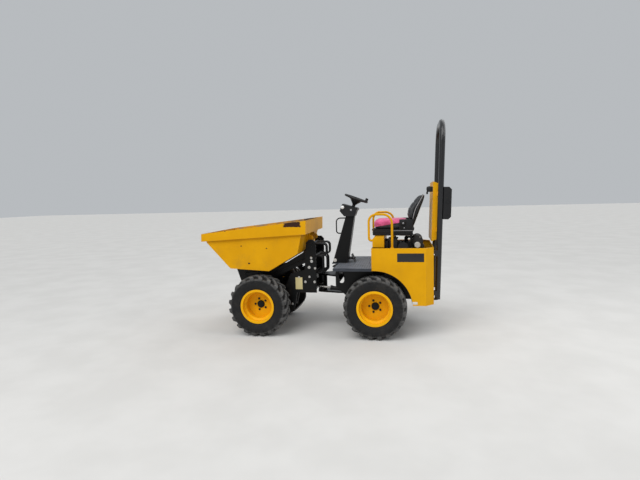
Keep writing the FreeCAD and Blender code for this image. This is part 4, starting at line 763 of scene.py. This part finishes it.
CUSHION_SEAMS = (
    # axis across the line (1 is y, 2 is z), its place, width, depth, the side that it lies on
    (1, -0.118, 0.014, 0.006, (0, 0, 1)),
    (1, 0.118, 0.014, 0.006, (0, 0, 1)),
    (2, 1.345, 0.009, 0.003, (1, 0, 0)),
    (2, 1.345, 0.009, 0.003, (0, 1, 0)),
    (2, 1.345, 0.009, 0.003, (0, -1, 0)),
)
BACK_SEAMS = (
    # the same columns
    (2, 1.492, 0.013, 0.006, (1, 0, 0.2)),
    (2, 1.560, 0.013, 0.006, (1, 0, 0.2)),
    (2, 1.628, 0.013, 0.006, (1, 0, 0.2)),
    (1, -0.135, 0.013, 0.007, (1, 0, 0.2)),
    (1, 0.135, 0.013, 0.007, (1, 0, 0.2)),
)
SEAM_FACING = 0.35
WELT_RADIUS = 0.005
WELT_INSET = 0.003
WELT_RISE = 0.006
WELT_TOP_HALF = 0.120


def evaluated(item):
    """The item's mesh with its modifiers applied. The item itself is removed."""
    graph = bpy.context.evaluated_depsgraph_get()
    graph.update()
    mesh = bpy.data.meshes.new_from_object(item.evaluated_get(graph))
    bpy.data.objects.remove(item)
    return mesh


def foam_item(mesh):
    item = bpy.data.objects.new("foam", mesh)
    scene.collection.objects.link(item)
    return item


def remeshed(mesh):
    item = foam_item(mesh)
    change = item.modifiers.new("remesh", "REMESH")
    change.mode = "VOXEL"
    change.voxel_size = FOAM_VOXEL
    return evaluated(item)


def swollen(mesh, floor):
    """The mesh after a short pressure simulation, kept above its floor, with each point's move capped."""
    start = [v.co.copy() for v in mesh.vertices]
    item = foam_item(mesh)
    change = item.modifiers.new("cloth", "CLOTH")
    change.settings.use_pressure = True
    change.settings.uniform_pressure_force = FOAM_PRESSURE
    change.settings.effector_weights.gravity = 0
    change.settings.quality = FOAM_QUALITY
    change.point_cache.frame_end = FOAM_FRAMES
    for number in range(1, FOAM_FRAMES + 1):
        scene.frame_set(number)
    result = evaluated(item)
    scene.frame_set(1)
    for vertex, before in zip(result.vertices, start):
        move = vertex.co - before
        if move.length > FOAM_CAP:
            vertex.co = before + move.normalized() * FOAM_CAP
        vertex.co.z = max(vertex.co.z, floor)
    return result


def press_seam(mesh, axis, place, width, depth, facing):
    """Draws the surface in along a line, on the side that faces the direction given."""
    facing = Vector(facing)
    normals = [v.normal.copy() for v in mesh.vertices]
    for vertex, normal in zip(mesh.vertices, normals):
        away = abs(vertex.co[axis] - place)
        if normal.dot(facing) >= SEAM_FACING and away < width:
            vertex.co -= normal * depth * (0.5 + 0.5 * math.cos(math.pi * away / width))


def smoothed(mesh, rounds=1, levels=1):
    item = foam_item(mesh)
    ease = item.modifiers.new("ease", "SMOOTH")
    ease.iterations = rounds
    ease.factor = 0.5
    if levels:
        item.modifiers.new("fine", "SUBSURF").levels = levels
    result = evaluated(item)
    result.shade_smooth()
    return result


def flat_rows(bm, rows, squareness):
    """Skin over level sections, each given by its height, front x, rear x and half width."""
    rings = []
    for z, front, rear, half in rows:
        ring = []
        for a in angles(ROW_SIDES):
            c, s = math.cos(a), math.sin(a)
            u = (front - rear) / 2 * math.copysign(abs(c) ** (2 / squareness), c)
            v = half * math.copysign(abs(s) ** (2 / squareness), s)
            ring.append(bm.verts.new(Vector(((front + rear) / 2, 0, z)) + ALONG * u + ACROSS * v))
        rings.append(ring)
    skin(bm, rings)


def cushion_shape(bm):
    flat_rows(bm, CUSHION_ROWS, CUSHION_SQUARENESS)


def back_shape(bm):
    rows = [(z, front, seam - PAD_INSET, half) for z, front, seam, rear, half in BACK_ROWS]
    flat_rows(bm, rows, BACK_SQUARENESS)


def shell_shape(bm):
    rows = [(z, front, rear, half) for z, front, seam, rear, half in BACK_FOOT]
    rows += [(z, seam + SHELL_GAP, rear, half - WELT_INSET) for z, front, seam, rear, half in BACK_ROWS]
    flat_rows(bm, rows, BACK_SQUARENESS)


def welt_route():
    side = [(seam, half - WELT_INSET, z) for z, front, seam, rear, half in BACK_ROWS]
    x, z = BACK_ROWS[-1][2], BACK_ROWS[-1][0] + WELT_RISE
    over = [(x, WELT_TOP_HALF, z), (x, 0.0, z), (x, -WELT_TOP_HALF, z)]
    return side + over + mirrored(reversed(side))


def foam_pad(name, build, floor, seams):
    """A soft pad of the seat, swollen by a short simulation."""
    mesh = remeshed(to_mesh(name, build))
    mesh = swollen(mesh, floor)
    for seam in seams:
        press_seam(mesh, *seam)
    return add_piece(name, smoothed(mesh), vinyl_look, "rear_frame")


def back_shell():
    shell = remeshed(to_mesh("shell", shell_shape))
    add_piece("backrest_shell", smoothed(shell, rounds=3, levels=0), plastic, "rear_frame")
    welt = to_mesh("welt", lambda bm: sweep(bm, welt_route(), WELT_RADIUS, sides=10), degrees=60)
    add_piece("backrest_welt", welt, trim_look, "rear_frame")


COVER_HEM = ((-0.600, 1.322), (-1.040, 1.392))
COVER_REAR = -1.020
COVER_GAP = 0.0025
COVER_THICKNESS = 0.0012
CREASE = 0.0048
FOLDS = (
    # waves per metre, offset, sharpness, share of the crease
    (Vector((9, 26, 9)), Vector((0, 0, 0)), 3, 0.6),
    (Vector((30, 17, 34)), Vector((7, 3, 1)), 4, 0.4),
)


def crease_height(point):
    """Height of the cloth's creases above the cushion."""
    return CREASE * sum((1 - abs(noise.noise(point * waves + offset))) ** sharpness * share
                        for waves, offset, sharpness, share in FOLDS)


def seat_cover(pad):
    """A cloth cover stretched over the cushion's top, front and sides, with a hem that rises to the rear."""
    (front_x, front_z), (rear_x, rear_z) = COVER_HEM
    above_hem = Vector((rear_z - front_z, 0, front_x - rear_x))
    bm = bmesh.new()
    bm.from_mesh(pad.data)
    for point, normal in (((front_x, 0, front_z), above_hem), ((COVER_REAR, 0, 0), ALONG)):
        bmesh.ops.bisect_plane(bm, geom=bm.verts[:] + bm.edges[:] + bm.faces[:], plane_co=point,
                               plane_no=normal, clear_inner=True)
    bm.normal_update()
    moves = [(vert, vert.normal * (COVER_GAP + crease_height(vert.co))) for vert in bm.verts]
    for vert, move in moves:
        vert.co += move
    mesh = bpy.data.meshes.new("seat_cover")
    bm.to_mesh(mesh)
    bm.free()
    mesh.shade_smooth()
    cover = add_piece("seat_cover", mesh, cover_look, "rear_frame")
    thickness = cover.modifiers.new("thickness", "SOLIDIFY")
    thickness.thickness = COVER_THICKNESS
    thickness.offset = 0


pad = foam_pad("cushion_pad", cushion_shape, CUSHION_FLOOR, CUSHION_SEAMS)
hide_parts("seat_cushion")
rest = foam_pad("backrest_pad", back_shape, BACK_FLOOR, BACK_SEAMS)
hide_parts("seat_back")
back_shell()
seat_cover(pad)


# Hip hoops with wide upper corners, on straps inside the side panels

HOOP_RADIUS = 0.014
HOOP_Y = 0.400
HOOP_ROUTE = ((-0.846, 1.090), (-0.846, 1.490), (-0.569, 1.490), (-0.569, 1.176), (-0.612, 1.176))
HOOP_BENDS = (0.112, 0.090, 0.027)
STRAP = ((-0.866, 0.380, 1.084), (-0.826, 0.5455, 1.090))
STRAP_SOFT = 0.001


def build_hoops(bm):
    route = rounded_route([(x, HOOP_Y, z) for x, z in HOOP_ROUTE], HOOP_BENDS)
    sweep(bm, route, HOOP_RADIUS)
    sweep(bm, mirrored(route), HOOP_RADIUS)
    low, high = STRAP
    brick(bm, low, high, STRAP_SOFT)
    brick(bm, (low[0], -high[1], low[2]), (high[0], -low[1], high[2]), STRAP_SOFT)


hoop_mesh = to_mesh("hip_hoops", build_hoops, degrees=50)
hoops = add_piece("hip_hoops", hoop_mesh, yellow, "rear_frame")
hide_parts("hip_guards")


# Grab handle with round corners, let into the column's front

HANDLE_RADIUS = 0.008
HANDLE_FOOT = 0.075
HANDLE_BENDS = (0.052, 0.034)


def build_handle(bm):
    low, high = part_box("grab_handle")
    top, front, bottom = high[2] - HANDLE_RADIUS, high[0] - HANDLE_RADIUS, low[2] + HANDLE_RADIUS
    route = ((low[0], 0, top), (front, 0, top), (front, 0, bottom), (front - HANDLE_FOOT, 0, bottom))
    sweep(bm, rounded_route(route, HANDLE_BENDS), HANDLE_RADIUS, sides=14)


handle_mesh = to_mesh("round_handle", build_handle, degrees=50)
handle = add_piece("round_handle", handle_mesh, black, "rear_frame")
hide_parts("grab_handle")


# Chequer plate: raised lozenges on the footplate, clear of the column and of its front and side edges

CHEQUER_PITCH = 0.030
CHEQUER_SPARE = (0.02, 0.03)
CHEQUER_START = (0.016, 0.020)
CHEQUER_FRONT = -0.150
CHEQUER_EDGE = 0.014
COLUMN_CLEAR = (0.014, 0.012)
LOZENGE_LENGTH = 0.0135
LOZENGE_WIDTH = 0.0042
LOZENGE_HEIGHT = 0.0018
LOZENGE_SINK = 0.0004
LOZENGE_FOOT = ((1, 0), (0.45, 1), (-0.45, 1), (-1, 0), (-0.45, -1), (0.45, -1))
LOZENGE_TOP = ((0.78, 0), (0.4, 0.5), (-0.4, 0.5), (-0.78, 0), (-0.4, -0.5), (0.4, -0.5))


def lozenge(bm, x, y, z, turn):
    c, s = math.cos(turn), math.sin(turn)
    rings = []
    for outline, rise in ((LOZENGE_FOOT, -LOZENGE_SINK), (LOZENGE_TOP, LOZENGE_HEIGHT)):
        sized = [(u * LOZENGE_LENGTH, v * LOZENGE_WIDTH) for u, v in outline]
        rings.append([bm.verts.new((x + u * c - v * s, y + u * s + v * c, z + rise)) for u, v in sized])
    skin(bm, rings, ends=False)
    bm.faces.new(rings[-1])


def build_lozenges(bm):
    low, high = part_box("footplate")
    column_low, column_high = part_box("column")
    rows, columns = (int((high[i] - low[i] - CHEQUER_SPARE[i]) / CHEQUER_PITCH) for i in (0, 1))
    for i in range(rows + 1):
        x = low[0] + CHEQUER_START[0] + i * CHEQUER_PITCH
        for j in range(columns + 1):
            y = low[1] + CHEQUER_START[1] + j * CHEQUER_PITCH
            beside_column = abs(y) > column_high[1] + COLUMN_CLEAR[1]
            off_column = beside_column or not column_low[0] - COLUMN_CLEAR[0] < x < column_high[0]
            if off_column and x < CHEQUER_FRONT and abs(y) < high[1] - CHEQUER_EDGE:
                lozenge(bm, x, y, high[2], math.radians(45 if (i + j) % 2 else -45))


lozenge_mesh = to_mesh("chequer_bars", build_lozenges, degrees=20)
add_piece("chequer_bars", lozenge_mesh, lozenge_look, "rear_frame")


# Bolts, in one mesh for each body

OUT = (0, 1, 0)
FORE = (1, 0, 0)
AFT = (-1, 0, 0)
ABOVE = (0, 0, 1)
WASHER = ((1.45, 0.0), (1.45, 0.16), (1.38, 0.2))
BOLT_HEAD = ((1.0, 0.1), (1.0, 0.82), (0.86, 0.95))
BOLTS = {
    # body: (x, y, z, direction, half the head's width across corners), mirrored to the other side
    "front_frame": (
        (0.172, 0.302, 0.950, OUT, 0.013),
        (0.172, 0.302, 0.905, OUT, 0.013),
        (0.206, 0.302, 0.827, OUT, 0.013),
        (0.343, 0.302, 0.700, OUT, 0.009),
        (0.129, 0.302, 0.815, OUT, 0.010),
        (0.140, 0.302, 0.640, OUT, 0.011),
        (0.260, 0.302, 0.640, OUT, 0.011),
        (0.205, 0.302, 0.705, OUT, 0.010),
        (0.520, 0.302, 0.350, OUT, 0.011),
        (0.440, 0.302, 0.350, OUT, 0.011),
        (0.760, 0.302, 0.480, OUT, 0.012),
        (0.864, 0.302, 0.480, OUT, 0.012),
    ),
    "rear_frame": (
        (-0.560, 0.350, 0.800, OUT, 0.010),
        (-0.180, 0.350, 0.800, OUT, 0.010),
        (-0.400, 0.350, 0.560, OUT, 0.010),
        (-1.332, 0.400, 1.000, AFT, 0.009),
        (-1.332, 0.400, 0.500, AFT, 0.009),
        (-1.332, 0.200, 1.050, AFT, 0.009),
        (-0.590, 0.300, 1.040, FORE, 0.009),
    ),
}


def build_bolts(bm, rows):
    """A washer and a hexagon head for each bolt; their profiles are shares of its size."""
    for x, y, z, axis, size in rows:
        for side in (1, -1):
            at, out = (x, y * side, z), (axis[0], axis[1] * side, axis[2])
            turned(bm, at, out, [(r * size, h * size) for r, h in WASHER], sides=20)
            turned(bm, at, out, [(r * size, h * size) for r, h in BOLT_HEAD], sides=6)


for body, rows in BOLTS.items():
    mesh = to_mesh("bolts", lambda bm: build_bolts(bm, rows), degrees=30)
    add_piece("bolts_" + body, mesh, zinc, body)


# Small fittings, each group one mesh on its body


def fittings(name, look, body, boxes=(), rounds=(), bars=(), degrees=35):
    """A group of small pieces, each given by the columns of its kind.

    Boxes: low corner, high corner, softened edge.
    Rounds, turned about an axis: foot, axis, profile, sides.
    Bars: points, bends, radius.
    """

    def build(bm):
        for box in boxes:
            brick(bm, *box)
        for piece in rounds:
            turned(bm, *piece)
        for points, bends, radius in bars:
            sweep(bm, rounded_route(points, bends), radius)

    add_piece(name, to_mesh(name, build, degrees), look, body)


def knob(radius, side, crown, top):
    """Profile of a disc: its radius up to the side's height, then in to the crown at the top."""
    return ((radius, 0.0), (radius, side), (crown, top))


WHEEL_AT = Vector((-0.380, 0, 1.686))
WHEEL_TILT = math.radians(21)
WHEEL_AXIS = Vector((-math.sin(WHEEL_TILT), 0, math.cos(WHEEL_TILT)))
BOSS = ((0.019, -0.092), (0.026, -0.078), (0.082, -0.016), (0.086, -0.008), (0.080, -0.003), (0.030, 0.0))
fittings("wheel_boss", plastic, "steering_wheel",
         rounds=[(WHEEL_AT, WHEEL_AXIS, BOSS, 40)], degrees=40)

BAY_FLOOR = 0.998
RIB_HALF = 0.006
RIB_PITCH = 0.036
fittings("engine_bay", engine_look, "rear_frame", boxes=[
    # upright cooler, battery and its lid, relay box, ribs of the engine's cover
    ((-0.792, -0.150, BAY_FLOOR), (-0.745, 0.186, 1.150), 0.010),
    ((-0.905, 0.108, BAY_FLOOR), (-0.800, 0.186, 1.176), 0.012),
    ((-0.915, 0.100, 1.176), (-0.795, 0.189, 1.190), 0.004),
    ((-1.188, -0.180, BAY_FLOOR), (-1.120, -0.070, 1.075), 0.008),
    *(((x - RIB_HALF, -0.100, 1.118), (x + RIB_HALF, 0.100, 1.132), 0.002)
      for x in (-0.815 - i * RIB_PITCH for i in range(7))),
], rounds=[
    # battery's caps, filler caps, filter, cap of the pulley
    *(((x, 0.150, 1.188), ABOVE, knob(0.012, 0.014, 0.009, 0.017), 16) for x in (-0.880, -0.830)),
    *(((-0.865, y, 1.119), ABOVE, knob(0.026, 0.030, 0.020, 0.036), 20) for y in (-0.075, 0.0, 0.075)),
    ((-1.085, 0.095, BAY_FLOOR), ABOVE, knob(0.036, 0.118, 0.030, 0.126), 24),
    ((-1.205, 0.120, 1.080), OUT, knob(0.030, 0.040, 0.022, 0.048), 24),
])

CAP_NUT = ((0.007, -0.004), (0.007, 0.007), (0.005, 0.009))
CAP_NUTS_AT = ((-0.880, 0.150, 1.206), (-1.085, 0.095, 1.126), (-1.180, 0.165, 1.190))
fittings("engine_bay_caps", white_plate, "rear_frame", boxes=[
    # strip under the rear of the seat base
    ((-1.095, -0.120, 1.212), (-0.930, 0.205, 1.2178), 0.001),
], rounds=[
    # air cleaner's end, cap nuts
    ((-1.149, 0.170, 1.094), OUT, knob(0.038, 0.020, 0.032, 0.028), 28),
    *((at, ABOVE, CAP_NUT, 6) for at in CAP_NUTS_AT),
])

SEAT_SIDE = 0.235
SEAT_RIB = 0.004
SEAT_RIB_REACH = SEAT_SIDE + SEAT_RIB
LEVER_Z = 1.285
LEVER_ROUTE = ((-0.640, 0.150, LEVER_Z), (-0.590, 0.150, LEVER_Z),
               (-0.590, -0.150, LEVER_Z), (-0.640, -0.150, LEVER_Z))
fittings("seat_trim", plastic, "rear_frame", boxes=[
    # ribs around the seat base, side covers of the back's hinge
    *(((-1.090, -SEAT_RIB_REACH, z - SEAT_RIB), (-0.602, SEAT_RIB_REACH, z + SEAT_RIB), 0.0015)
      for z in (1.232, 1.247, 1.262)),
    ((-1.094, 0.222, 1.296), (-0.930, 0.238, 1.418), 0.006),
    ((-1.094, -0.238, 1.296), (-0.930, -0.222, 1.418), 0.006),
], rounds=[
    # knobs of the back's hinge
    ((-0.978, side * 0.236, 1.372), (0, side, 0), knob(0.034, 0.012, 0.026, 0.020), 28) for side in (1, -1)
], bars=[
    # lever of the seat's slide
    (LEVER_ROUTE, (0.02, 0.02), 0.006),
])
fittings("seat_trim_pale", trim_look, "rear_frame", boxes=[
    # piping of the seat's side
    ((-1.094, SEAT_SIDE, 1.275), (-0.860, SEAT_SIDE + 0.005, 1.281), 0.001),
], rounds=[
    # middle of the hinge's knob, screw
    ((-0.978, 0.255, 1.372), OUT, knob(0.010, 0.003, 0.007, 0.004), 16),
    ((-0.990, 0.238, 1.312), OUT, knob(0.007, 0.004, 0.005, 0.005), 12),
])

fittings("belt_reel", plastic, "rear_frame", boxes=[
    # housing, end of the belt
    ((-1.326, 0.286, 1.742), (-1.256, 0.322, 1.806), 0.008),
    ((-1.272, 0.292, 1.716), (-1.252, 0.316, 1.746), 0.002),
], rounds=[
    # reel's cover
    ((-1.286, 0.318, 1.776), OUT, knob(0.034, 0.010, 0.028, 0.014), 28),
])

VALVE_FOOT = ((0.050, 0.0), (0.055, 0.006), (0.055, 0.020))
PORT = ((0.012, 0.0), (0.012, 0.012), (0.009, 0.014), (0.009, 0.026))
fittings("valve_block", engine_look, "rear_frame", boxes=[
    ((-0.285, -0.085, 0.742), (-0.080, 0.085, 0.8208), 0.006),
], rounds=[
    ((-0.180, 0, 0.725), ABOVE, VALVE_FOOT, 28),
    *(((-0.082, y, z), FORE, PORT, 6) for y in (-0.054, -0.018, 0.018, 0.054) for z in (0.762, 0.800)),
])

DASH_SIDE = 0.1045
DASH_FRONT = (-1, 0, 0.3)
LENS_BULGE = ((0.022, 0.0), (0.022, 0.006), (0.017, 0.011), (0.008, 0.013))
DIAL = ((0.011, -0.004), (0.011, 0.006), (0.008, 0.007))
fittings("dash_lamp", lamp_glass, "rear_frame",
         rounds=[((-0.212, DASH_SIDE, 1.578), OUT, LENS_BULGE, 28)])
fittings("dash_dials", trim_look, "rear_frame", rounds=[
    # key switch, dials
    ((-0.321, DASH_SIDE, 1.542), OUT, knob(0.012, 0.004, 0.009, 0.005), 20),
    *(((-0.402, y, 1.545), DASH_FRONT, DIAL, 20) for y in (-0.060, -0.020, 0.020, 0.060)),
])
fittings("column_cap", white_plate, "rear_frame",
         rounds=[((-0.098, 0.0900, 0.890), OUT, knob(0.023, 0.006, 0.018, 0.009), 28)])


# Bare plates, on both sides

PLATE_THICKNESS = 0.0012
PLATE_SOFT = 0.0004
PLATES = (
    # name, look, body, low x, high x, low z, high z, face y
    ("name_place", bare_plate, "rear_frame", -1.214, -0.906, 0.934, 1.035, 0.5500),
    ("panel_label", white_plate, "rear_frame", -1.136, -1.077, 0.430, 0.461, 0.5500),
    ("tower_label", cream_plate, "front_frame", 0.299, 0.390, 0.543, 0.697, 0.3020),
)
for name, look, body, low_x, high_x, low_z, high_z, face in PLATES:
    back = face + PLATE_THICKNESS
    fittings(name, look, body, degrees=30, boxes=[
        ((low_x, face, low_z), (high_x, back, high_z), PLATE_SOFT),
        ((low_x, -back, low_z), (high_x, -face, high_z), PLATE_SOFT),
    ])
